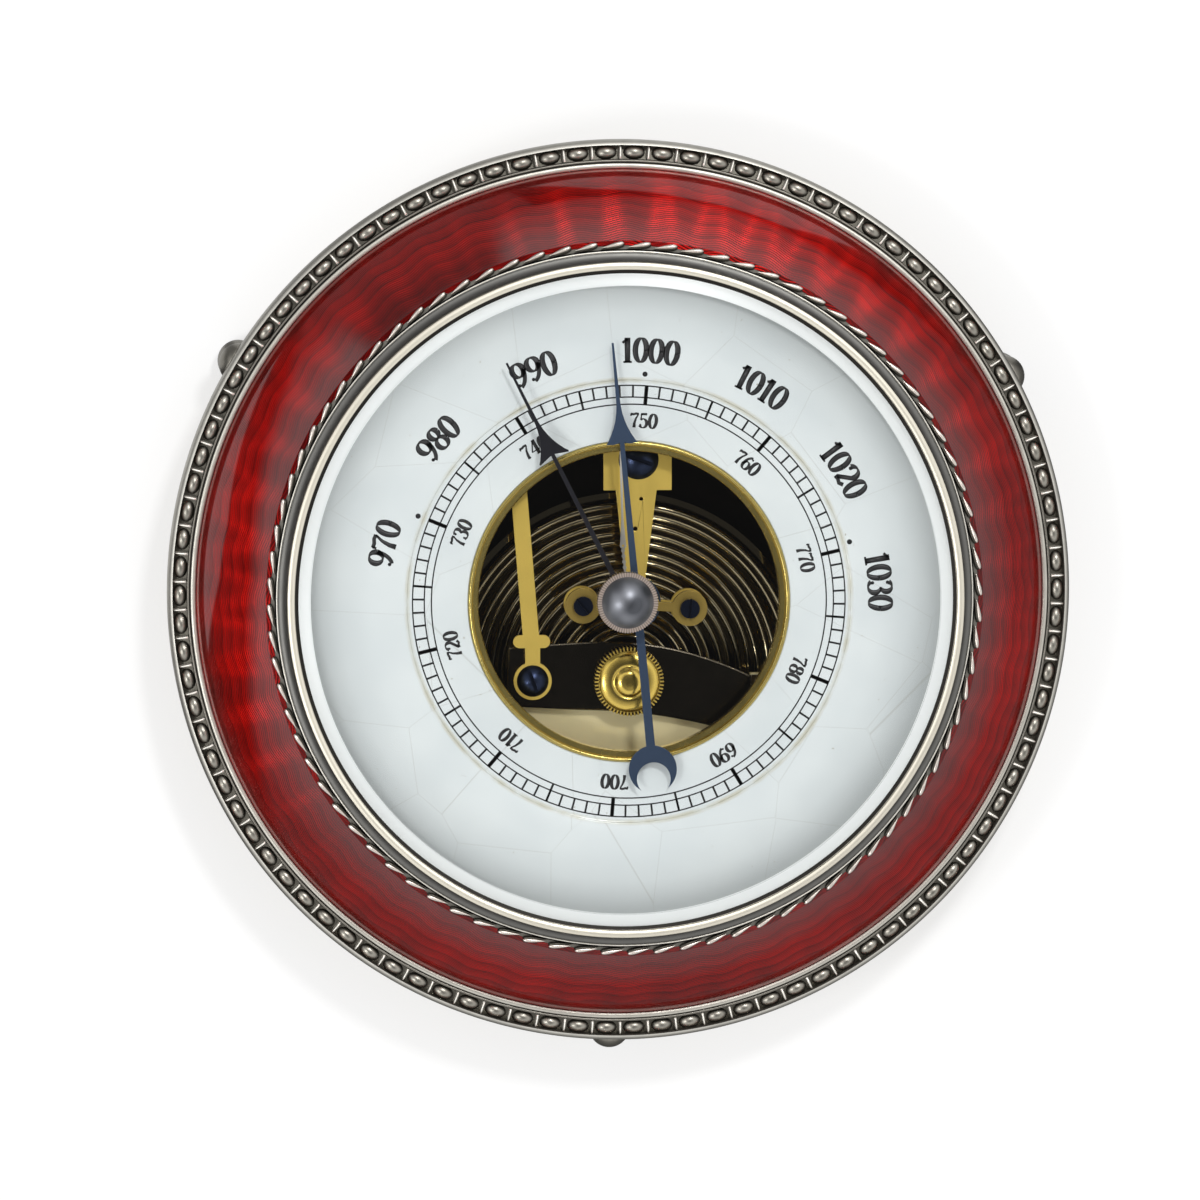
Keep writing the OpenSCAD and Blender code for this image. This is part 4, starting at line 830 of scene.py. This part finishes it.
dial_faces = [
    (i * rings + j, (i + 1) % DIAL_SEGMENTS * rings + j, (i + 1) % DIAL_SEGMENTS * rings + k, i * rings + k)
    for i in range(DIAL_SEGMENTS)
    for j in range(rings)
    for k in [(j + 1) % rings]
]
piece("dial_disc", dial_points, dial_faces, dial_material(), ["dial"])

# %% [markdown]
# ## The scale
# A hundred divisions make one turn, 3.6 degrees each. Every fifth line reaches further in, and every
# tenth is thicker. The ink is fired into the enamel: here it is a layer a few hundredths of a mm thick,
# which keeps sharp edges at any distance, where a painted texture would blur.

# %% Scale
INK_T = 0.02
TICK_LINE = 0.2
UNIT_R, FIVE_R, SCALE_R = 31.5, 30.4, 33.3
# The angle at which the scale reads 750 mm of mercury
ANGLE_AT_750 = 85.4


def ink_material():
    """Black ceramic ink, fired into the enamel and as smooth as it."""
    material, tree = new_material("black_enamel_ink")
    shader = add(tree, "ShaderNodeBsdfPrincipled", {"Base Color": srgb("1A1A1C"), "Roughness": 0.4})
    add(tree, "ShaderNodeOutputMaterial", {"Surface": shader})
    return material


def tick_item(tree, given):
    block = add(tree, "GeometryNodeMeshCube", {"Size": (1, 1, 1)})
    return scaled(tree, block, given["Length"], given["Width"], given["Thickness"])


INK = ink_material()
tick_tree = ring_tree("ticks", tick_item, INK, ["Length", "Width", "Thickness"])
TICKS = {"unit": (100, UNIT_R, 0.3), "five": (20, FIVE_R, 0.34), "ten": (10, FIVE_R, 0.58)}
for label, (count, inner, width) in TICKS.items():
    tick_sizes = {
        "Count": count,
        "Radius": (inner + SCALE_R) / 2,
        "Height": SUNK_TOP + INK_T / 2,
        "First angle": ANGLE_AT_750,
        "Length": SCALE_R - inner,
        "Width": width,
        "Thickness": INK_T,
    }
    ticks = grown("scale_ticks_" + label, tick_tree, tick_sizes)
    ticks.data.transform(Matrix.Translation((DIAL_AT[0] * MM, DIAL_AT[1] * MM, 0)))
for label, radius in (("inner", FIVE_R), ("middle", UNIT_R), ("outer", SCALE_R)):
    low, high = radius - TICK_LINE / 2, radius + TICK_LINE / 2
    line = [(low, SUNK_TOP), (high, SUNK_TOP), (high, SUNK_TOP + INK_T), (low, SUNK_TOP + INK_T)]
    revolve("scale_circle_" + label, line, INK, centre=DIAL_AT)

# %% [markdown]
# ## The shapes of the numerals
# Old dials use numerals with thick uprights and thin turns, which Blender's own font doesn't have. So each
# is drawn as a pen would: a few strokes, each a centre line with a width. They lie in a box one unit
# high, whose width comes first. A round stroke is thick where it runs up or down, a growing one gets
# thicker along its way, and a drop is the dot that ends a thin turn.

# %% Strokes of the numerals
THICK, THIN = 0.2, 0.075
BROAD = THICK * 0.75


def ellipse(cx, cy, rx, ry, start=0, end=360, steps=24):
    turn = [math.radians(start + (end - start) * i / steps) for i in range(steps + 1)]
    return [(cx + rx * math.cos(a), cy + ry * math.sin(a)) for a in turn]


def drop(cx, cy, radius=0.03):
    return ellipse(cx, cy, radius, radius + 0.005, steps=10), 0.07


NUMERALS = {
    "0": (0.56, [(ellipse(0.28, 0.5, 0.2, 0.46, steps=28), "round")]),
    "1": (
        0.42,
        [
            ([(0.22, 0.0), (0.22, 0.98)], THICK),
            ([(0.05, 0.78), (0.22, 0.94)], THIN * 1.3),
            ([(0.06, 0.03), (0.38, 0.03)], THIN),
        ],
    ),
    "2": (
        0.56,
        [
            (ellipse(0.27, 0.71, 0.2, 0.25, 165, -35, 16) + [(0.1, 0.12)], "round"),
            ([(0.05, 0.07), (0.2, 0.1), (0.36, 0.05), (0.5, 0.16)], THICK * 0.8),
            drop(0.12, 0.74, 0.035),
        ],
    ),
    "3": (
        0.54,
        [
            (ellipse(0.24, 0.74, 0.18, 0.22, 150, -80, 16), "round"),
            (ellipse(0.23, 0.27, 0.22, 0.25, 85, -150, 18), "round"),
            drop(0.1, 0.8),
            drop(0.08, 0.2),
        ],
    ),
    "4": (
        0.58,
        [
            ([(0.4, 0.0), (0.4, 0.98)], THICK),
            ([(0.38, 0.96), (0.04, 0.28)], THIN),
            ([(0.02, 0.28), (0.56, 0.28)], THIN),
            ([(0.26, 0.03), (0.54, 0.03)], THIN),
        ],
    ),
    "5": (
        0.54,
        [
            (ellipse(0.24, 0.31, 0.22, 0.29, 130, -150, 20), "round"),
            ([(0.1, 0.52), (0.12, 0.94)], THIN),
            ([(0.11, 0.9), (0.44, 0.93)], BROAD),
            drop(0.08, 0.2),
        ],
    ),
    "6": (
        0.56,
        [
            (ellipse(0.28, 0.3, 0.2, 0.27), "round"),
            (ellipse(0.46, 0.3, 0.38, 0.66, 180, 100, 16), BROAD),
            drop(0.44, 0.86),
        ],
    ),
    "7": (
        0.54,
        [
            ([(0.04, 0.9), (0.2, 0.88), (0.34, 0.93), (0.5, 0.9)], BROAD),
            ([(0.49, 0.9), (0.34, 0.6), (0.26, 0.3), (0.24, 0.02)], "growing"),
            ([(0.05, 0.92), (0.05, 0.76)], THIN),
        ],
    ),
    "8": (
        0.56,
        [
            (ellipse(0.28, 0.74, 0.16, 0.21, steps=22), "round"),
            (ellipse(0.28, 0.27, 0.2, 0.24), "round"),
        ],
    ),
    "9": (
        0.56,
        [
            (ellipse(0.28, 0.7, 0.2, 0.27), "round"),
            (ellipse(0.1, 0.7, 0.38, 0.66, 0, -80, 16), BROAD),
            drop(0.12, 0.13),
        ],
    ),
}
print("numerals:", " ".join(NUMERALS))

# %% [markdown]
# ## Writing the numbers
# A stroke becomes a band of quads, half its width to each side of its centre line. The whole number is
# bent round the dial: what runs across the paper becomes an angle, what runs up becomes a radius.

# %% From strokes to a mesh
# The numerals of this dial are a little wider than their unit box
SPREAD = 1.1


def stroke_width(rule, share, upright):
    """A stroke's width at a point, by its rule: a plain width, round or growing."""
    if rule == "round":
        return THIN + (THICK - THIN) * upright**1.5
    if rule == "growing":
        return THIN + (THICK - THIN) * share
    return rule


def stroke_edges(path, rule):
    """Left and right edge points of a stroke."""
    edges = []
    for i, (x, y) in enumerate(path):
        ax, ay = path[max(i - 1, 0)]
        bx, by = path[min(i + 1, len(path) - 1)]
        length = math.hypot(bx - ax, by - ay) or 1.0
        dx, dy = (bx - ax) / length, (by - ay) / length
        half = stroke_width(rule, i / (len(path) - 1), abs(dy)) / 2
        edges += [(x - dy * half, y + dx * half), (x + dy * half, y - dx * half)]
    return edges


def write_number(name, text, angle_deg, radius, height, z):
    """A number that reads outwards, its middle at that angle, its foot at that radius."""
    unit = height * SPREAD
    width = sum(NUMERALS[character][0] for character in text) * unit
    points, faces, pen = [], [], -width / 2
    for character in text:
        advance, strokes = NUMERALS[character]
        for path, rule in strokes:
            first = len(points)
            for x, y in stroke_edges(path, rule):
                across, up = pen + x * unit, radius + y * height
                turn = math.radians(angle_deg) - across / (radius + height / 2)
                points.append((DIAL_AT[0] + up * math.cos(turn), DIAL_AT[1] + up * math.sin(turn), z))
            faces += [(i, i + 1, i + 3, i + 2) for i in range(first, len(points) - 2, 2)]
        pen += advance * unit
    solid = piece(name, points, faces, INK).modifiers.new("thickness", "SOLIDIFY")
    solid.thickness, solid.offset = INK_T * MM, 0.0


# %% [markdown]
# ## The two rings of numbers
# The inner ring reads millimetres of mercury. The outer one gives the same pressure in hectopascals, so
# its numbers stand where the two units agree. Three small dots lie just outside the scale.

# %% Numbers and dots
MM_HG_PER_HPA = 0.75006
# Each ring: radius of the foot, height of the numerals, and the level they lie on
INNER_RING = (26.8, 2.35, SUNK_TOP + INK_T)
OUTER_RING = (36.8, 3.9, DIAL_TOP + INK_T)
DOT_R, DOT_RING_R = 0.4, 35.1


def scale_angle(mm_hg):
    return ANGLE_AT_750 - 3.6 * (mm_hg - 750)


for value in range(690, 790, 10):
    write_number(f"numeral_{value}", str(value), scale_angle(value), *INNER_RING)
for value in range(970, 1040, 10):
    write_number(f"numeral_{value}_hpa", str(value), scale_angle(value * MM_HG_PER_HPA), *OUTER_RING)
dot = [(0.0, DIAL_TOP), (DOT_R, DIAL_TOP), (DOT_R, DIAL_TOP + INK_T), (0.0, DIAL_TOP + INK_T)]
for number, angle in enumerate((14.9, 86.1, 157.5), start=1):
    x = DOT_RING_R * math.cos(math.radians(angle)) + DIAL_AT[0]
    y = DOT_RING_R * math.sin(math.radians(angle)) + DIAL_AT[1]
    revolve(f"dial_dot_{number}", dot, INK, segments=24, closed=False, centre=(x, y))

# %% [markdown]
# ## The ring in the opening
# A turned brass ring lines the hole of the dial. Through it we look down on the movement. Its rounded
# top edge catches a thin line of light, so its profile is drawn again with a true arc.

# %% Opening ring
RING_OUT = OPEN_R - 0.03
RING_IN = RING_OUT - 1.6
RING_TOP = SUNK_TOP + 0.2
opening_profile = (
    [(RING_IN, 20.6), (RING_IN + 0.5, 20.6), (RING_IN + 0.5, 21.2)]
    + [(RING_OUT + 1.2, 21.1), (RING_OUT + 1.2, DIAL_LOW), (RING_OUT, DIAL_LOW), (RING_OUT, RING_TOP - 0.1)]
    + arc(RING_OUT - 0.35, RING_TOP - 0.1, 0.3, 20, 160, 8)
    + [(RING_OUT - 0.75, RING_TOP - 0.3), (RING_IN + 0.15, RING_TOP - 0.35), (RING_IN, RING_TOP - 0.5)]
)
revolve("opening_ring_brass", opening_profile, RING_BRASS, centre=DIAL_AT, stands_for=["opening_ring"])

# %% [markdown]
# ## The glass
# Plate glass with a ground bevel at its edge. Light that goes on to a lamp passes straight through, so
# that the dial below isn't in shadow: otherwise the renderer would treat the glass as a solid wall.

# %% Glass
GLASS_R = 51.35
GLASS_LOW = 25.9
GLASS_TOP = 28.1
GLASS_HOLE = 1.65
BEVEL_WIDE, BEVEL_DEEP = 3.0, 0.9


def glass_material():
    """Polished plate glass. Its bevel is ground and no longer quite clear."""
    material, tree = new_material("bevelled_glass")
    bevel = by_length(tree, radius_mm(tree), (47.0, 0.0), (48.3, 0.0), (48.36, 1.0), (52.0, 1.0))
    looks = {
        "Base Color": srgb("FDFDFD"),
        "Roughness": add(tree, "MULTIPLY", bevel, 0.3),
        "IOR": 1.5,
        "Transmission Weight": 1.0,
    }
    clear = add(tree, "ShaderNodeBsdfPrincipled", looks)
    ground = add(tree, "ShaderNodeBsdfDiffuse", {"Color": srgb("EEF2F1")})
    face = add(tree, "ShaderNodeMixShader", add(tree, "MULTIPLY", bevel, 0.45), clear, ground)
    through = add(tree, "ShaderNodeBsdfTransparent", {"Color": srgb("FAFAFA")})
    rays = add(tree, "ShaderNodeLightPath").outputs
    looking = add(tree, "MAXIMUM", rays["Is Camera Ray"], rays["Is Transmission Ray"])
    mixed = add(tree, "ShaderNodeMixShader", looking, through, face)
    add(tree, "ShaderNodeOutputMaterial", {"Surface": mixed})
    return material


glass_profile = [
    (GLASS_HOLE, GLASS_LOW),
    (GLASS_R, GLASS_LOW),
    (GLASS_R, GLASS_TOP - BEVEL_DEEP),
    (GLASS_R - BEVEL_WIDE, GLASS_TOP),
    (GLASS_HOLE, GLASS_TOP),
]
revolve("glass_plate", glass_profile, glass_material(), segments=384, smooth_deg=10, stands_for=["glass"])

# %% [markdown]
# ## The capsule
# The corrugated lid is the darkest and the brightest thing in the movement: flat parts mirror the dark
# above, and only the flanks of the waves catch light. Facets would break these thin lines, so the lid is
# turned again here with many more steps. Its waves are a cosine of the radius.

# %% Capsule lid
CAPSULE_R = 28.5
BOSS_R = 5.0
LID_Z, LID_RISE, SHEET = 9.1, 1.6, 0.3
WAVE_FROM, WAVE_PITCH, WAVE_HIGH, WAVE_COUNT = 6.2, 2.9, 1.0, 7
LID_STEPS = 150


def lid_height(r):
    last = WAVE_FROM + WAVE_COUNT * WAVE_PITCH
    if r <= WAVE_FROM:
        return LID_RISE
    if r <= last:
        return LID_RISE + WAVE_HIGH / 2 * (math.cos((r - WAVE_FROM) / WAVE_PITCH * TAU) - 1)
    share = (r - last) / (CAPSULE_R - 1 - last)
    return LID_RISE * (1 - share**3) if share < 1 else 0.0


lid_radii = [BOSS_R + (CAPSULE_R - BOSS_R) * i / LID_STEPS for i in range(LID_STEPS + 1)]
lid_low = [(r, LID_Z + lid_height(r)) for r in lid_radii]
lid_top = [(r, z + SHEET) for r, z in lid_low]
revolve(
    "capsule_lid",
    lid_top + lid_low[::-1],
    CAPSULE_METAL,
    segments=288,
    centre=CAPSULE_AT,
    smooth_deg=50,
    stands_for=["capsule_top"],
)

# %% [markdown]
# ## Pieces that keep their construction mesh
# Screws, plates, levers and shafts are plain shapes that the construction model has right, so drawing
# them again would add nothing. They only need a finish, and one list says which finish is on which.

# %% Finishes for the other nodes
FINISH = {
    PEARL_SILVER: ["surround", "glass_ring", "feet"],
    LIT_BRIDGE_BRASS: ["spring_bridge"],
    BLUED_SCREW: ["bridge_screws", "clamp_screws", "lever_screw", "cock_screw", "ear_screws"],
    BRASS: [
        *["case_body", "back_cover", "foot_nuts", "base_screws", "dial_posts", "capsule_post", "main_lever"],
        *["pointer_hub", "set_spindle", "hairspring_collet", "hairspring_stud"],
        *["cock", "cock_pillar", "ear_pillars", "lower_plate"],
    ],
    TURNED_BRASS: ["set_bush", "chain_drum"],
    NUT_BRASS: ["knurled_nut"],
    STEEL: ["adjusting_screw", "drop_link", "regulating_shaft", "pull_link", "chain", "arbor"],
    SHADED_BRASS: ["ear_plate"],
    SPRING_STEEL: ["mainspring"],
    BROWNED_BRASS: ["spring_clamp"],
    CAPSULE_METAL: ["capsule_base"],
    BLUED: ["pointer", "hairspring"],
    BLACK_STEEL: ["set_hand"],
    BLACK_LACQUER: ["base_plate", "shaft_bracket"],
    KNOB_STEEL: ["set_knob"],
}
for material, names in FINISH.items():
    for name in names:
        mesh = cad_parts[name].data
        mesh.materials.clear()
        mesh.materials.append(material)
print("finished nodes:", sum(len(names) for names in FINISH.values()))

# %% [markdown]
# ## Filed edges
# Sheet metal has edges rounded by the file, and these catch the light as thin bright lines. Without them
# a piece looks cut from paper. The faces of a construction mesh don't share their corners, so a Weld
# modifier joins these first, or the Bevel modifier after it would find no edge.

# %% Weld and bevel
FILED_MM = {
    "mainspring": 0.25,
    "cock": 0.06,
    "main_lever": 0.06,
    "ear_plate": 0.06,
    "spring_bridge": 0.08,
    "pointer": 0.03,
    "set_hand": 0.03,
    "knurled_nut": 0.03,
    "feet": 0.05,
}
SHARP_EDGE = math.radians(40)
for name, width in FILED_MM.items():
    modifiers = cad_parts[name].modifiers
    joined = modifiers.new("joined_corners", "WELD")
    joined.merge_threshold = 0.001 * MM
    rounded = modifiers.new("filed_edges", "BEVEL")
    rounded.width, rounded.segments = width * MM, 2
    rounded.limit_method, rounded.angle_limit = "ANGLE", SHARP_EDGE
    rounded.use_clamp_overlap = True
print("filed edges on", ", ".join(FILED_MM))

# %% [markdown]
# ## The floor
# A pale floor. A plain white one would turn grey under the object, so for the camera a part of it shines
# by itself, which keeps the shadows soft and light. Mirrors don't see it.

# %% Floor
FLOOR = 1.5
SHINING_SHARE = 0.6
floor_mesh = bpy.data.meshes.new("floor")
floor_corners = [(-FLOOR, -FLOOR, 0), (FLOOR, -FLOOR, 0), (FLOOR, FLOOR, 0), (-FLOOR, FLOOR, 0)]
floor_mesh.from_pydata(floor_corners, [], [(0, 1, 2, 3)])
floor = link(bpy.data.objects.new("floor", floor_mesh))
floor_material, floor_tree = new_material("pale_floor")
matt = add(floor_tree, "ShaderNodeBsdfPrincipled", {"Base Color": srgb("FDFDFD"), "Roughness": 0.8})
shining = add(floor_tree, "ShaderNodeEmission", {"Color": srgb("FFFFFF"), "Strength": 1.0})
seen_floor = add(floor_tree, "ShaderNodeLightPath").outputs["Is Camera Ray"]
shining_part = add(floor_tree, "MULTIPLY", seen_floor, SHINING_SHARE)
floor_face = add(floor_tree, "ShaderNodeMixShader", shining_part, matt, shining)
add(floor_tree, "ShaderNodeOutputMaterial", {"Surface": floor_face})
floor_mesh.materials.append(floor_material)
floor.visible_glossy = False
floor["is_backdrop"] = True
print("floor:", 2 * FLOOR, "m wide")

# %% [markdown]
# ## The studio
# Polished metal and glossy enamel show the room they stand in, so the room is painted into the world. A
# direction has a compass angle and a height from -1 to 1. Grey areas are laid over a bright tent: a shape
# is whatever lies under its skyline, a line of (compass angle, height) points. The camera itself, and
# rays through the glass, see plain white instead.

# %% Helpers for the studio
world = bpy.data.worlds.new("studio")
world.use_nodes = True
bpy.context.scene.world = world
world_tree = world.node_tree
world_tree.nodes.clear()
direction = add(world_tree, "ShaderNodeTexCoord").outputs["Generated"]
axes = add(world_tree, "ShaderNodeSeparateXYZ", direction).outputs
turns = add(world_tree, "DIVIDE", add(world_tree, "ARCTAN2", axes[1], axes[0]), TAU)
compass = add(world_tree, "FRACT", add(world_tree, "ADD", turns, 1.0))
# 0 for straight down and 1 for straight up
upness = add(world_tree, "MULTIPLY_ADD", axes[2], 0.5, 0.5)


def round_compass(*stops):
    """A ramp round the compass, given as (degrees, value) stops."""
    return add(world_tree, "ShaderNodeValToRGB", compass, stops=[(angle / 360, v) for angle, v in stops])


def below(skyline, soft=0.02):
    """1 under a skyline, with an edge that soft."""
    line = round_compass(*[(angle, (height + 1) / 2) for angle, height in skyline])
    depth = add(world_tree, "SUBTRACT", line, upness)
    return add(world_tree, "MULTIPLY_ADD", depth, 0.5 / soft, 0.5, use_clamp=True)


def painted(room, grey, area):
    """The room with an area of it painted in that grey."""
    return laid_over(world_tree, room, [grey, grey, grey, 1], area)


# %% [markdown]
# ## Walls, sheets and a dark shape
# What the enamel mirrors gives it its depth. On the left and on the right stands a dark wall, each with a
# pale sheet on the table in front of it, and behind the camera is a dark shape that reaches high up. The
# tent itself is dark near the floor and straight above, and brightest well up between the two.

# %% Paint the studio
LEFT_WALL = [
    *[(139, -0.9), (141, -0.35), (150, 0.12), (168, 0.42), (182, 0.56), (196, 0.42)],
    *[(208, 0.08), (224, -0.5), (226, -0.9)],
]
RIGHT_WALL = [(18, -0.9), (20, -0.5), (36, -0.2), (48, 0.0), (100, 0.02), (106, -0.9)]
LEFT_SHEET = [(138, -0.9), (140, -0.5), (174, -0.03), (183, -0.08), (197, -0.5), (199, -0.9)]
RIGHT_SHEET = [(44, -0.9), (46, -0.5), (60, -0.08), (76, -0.05), (90, -0.15), (103, -0.5), (105, -0.9)]
WALL_GREY, LEFT_SHEET_GREY, RIGHT_SHEET_GREY, SHAPE_GREY = 0.03, 0.62, 0.55, 0.2
TENT = [
    *[(0.2, 0.1), (0.5, 0.2), (0.58, 0.38), (0.67, 0.55)],
    *[(0.8, 0.95), (0.9, 1.0), (0.965, 0.3), (0.99, 0.04)],
]
room = add(world_tree, "ShaderNodeValToRGB", upness, stops=TENT)
room = painted(room, WALL_GREY, below(LEFT_WALL, soft=0.06))
room = painted(room, WALL_GREY, below(RIGHT_WALL))
room = painted(room, LEFT_SHEET_GREY, below(LEFT_SHEET, soft=0.008))
room = painted(room, RIGHT_SHEET_GREY, below(RIGHT_SHEET, soft=0.008))
shape_sides = round_compass((105.5, 0.0), (108.5, 1.0), (135.5, 1.0), (138.5, 0.0))
shape_top = add(world_tree, "ShaderNodeValToRGB", upness, stops=[(0.835, 1.0), (0.885, 0.0)])
room = painted(room, SHAPE_GREY, add(world_tree, "MULTIPLY", shape_sides, shape_top))
lit_room = add(world_tree, "ShaderNodeBackground", {"Color": room, "Strength": 1.2})
white = add(world_tree, "ShaderNodeBackground", {"Color": srgb("FFFFFF"), "Strength": 1.0})
rays = add(world_tree, "ShaderNodeLightPath").outputs
looking = add(world_tree, "MAXIMUM", rays["Is Camera Ray"], rays["Is Transmission Ray"])
both = add(world_tree, "ShaderNodeMixShader", looking, lit_room, white)
add(world_tree, "ShaderNodeOutputWorld", {"Surface": both})
print("studio nodes:", len(world_tree.nodes))

# %% [markdown]
# ## Lamps
# The key lamp stands to the upper right: the nut's shadow on the bridge shows it. A weaker one on the left
# brings out the rows of the enamel there. Both are small squares, so that the shadows have an edge.

# %% Lamps
# The lamps face a point inside the object, 20 mm above the table
MIDDLE_Z = 20 * MM


def soft_lamp(name, place, side, power):
    """A square lamp that faces the object."""
    lamp = bpy.data.lights.new(name, "AREA")
    lamp.shape, lamp.size, lamp.energy = "SQUARE", side, power
    obj = link(bpy.data.objects.new(name, lamp))
    obj.location = place
    towards = Vector((0, 0, MIDDLE_Z)) - Vector(place)
    obj.rotation_euler = towards.to_track_quat("-Z", "Y").to_euler()
    print("lamp", name, "at", place)


soft_lamp("key", (0.14, 0.4, 0.7), 0.1, 2.35)
soft_lamp("fill", (-0.44, -0.13, 0.66), 0.16, 1.3)

# %% [markdown]
# ## The camera
# It stands almost straight above and a little to the upper left, as the shift of the higher rings
# against the rim shows. From far away with a long lens, circles stay nearly true.

# %% Camera
CAMERA_TILT = math.radians(7.2)
CAMERA_COMPASS = math.radians(125.1)
CAMERA_AWAY = 1.2
LENS_MM = 232.8
LOOK_AT = Vector((-3.15, -1.13, 14.5)) * MM
aside = Vector((math.cos(CAMERA_COMPASS), math.sin(CAMERA_COMPASS), 0))
back_axis = aside * math.sin(CAMERA_TILT) + Vector((0, 0, math.cos(CAMERA_TILT)))
up_axis = (Vector((0, 1, 0)) - back_axis * back_axis.y).normalized()
turned = Matrix((up_axis.cross(back_axis), up_axis, back_axis)).transposed().to_4x4()
camera = link(bpy.data.objects.new("camera", bpy.data.cameras.new("camera")))
camera.data.sensor_width = 36
camera.data.lens = LENS_MM
camera.matrix_world = Matrix.Translation(LOOK_AT + back_axis * CAMERA_AWAY) @ turned
bpy.context.scene.camera = camera
bpy.context.scene.view_settings.view_transform = "Standard"
print("camera at", [round(v, 3) for v in camera.location])

# %% Finish
low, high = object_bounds()
print("size in mm:", [round((h - l) / MM, 2) for l, h in zip(low, high)])
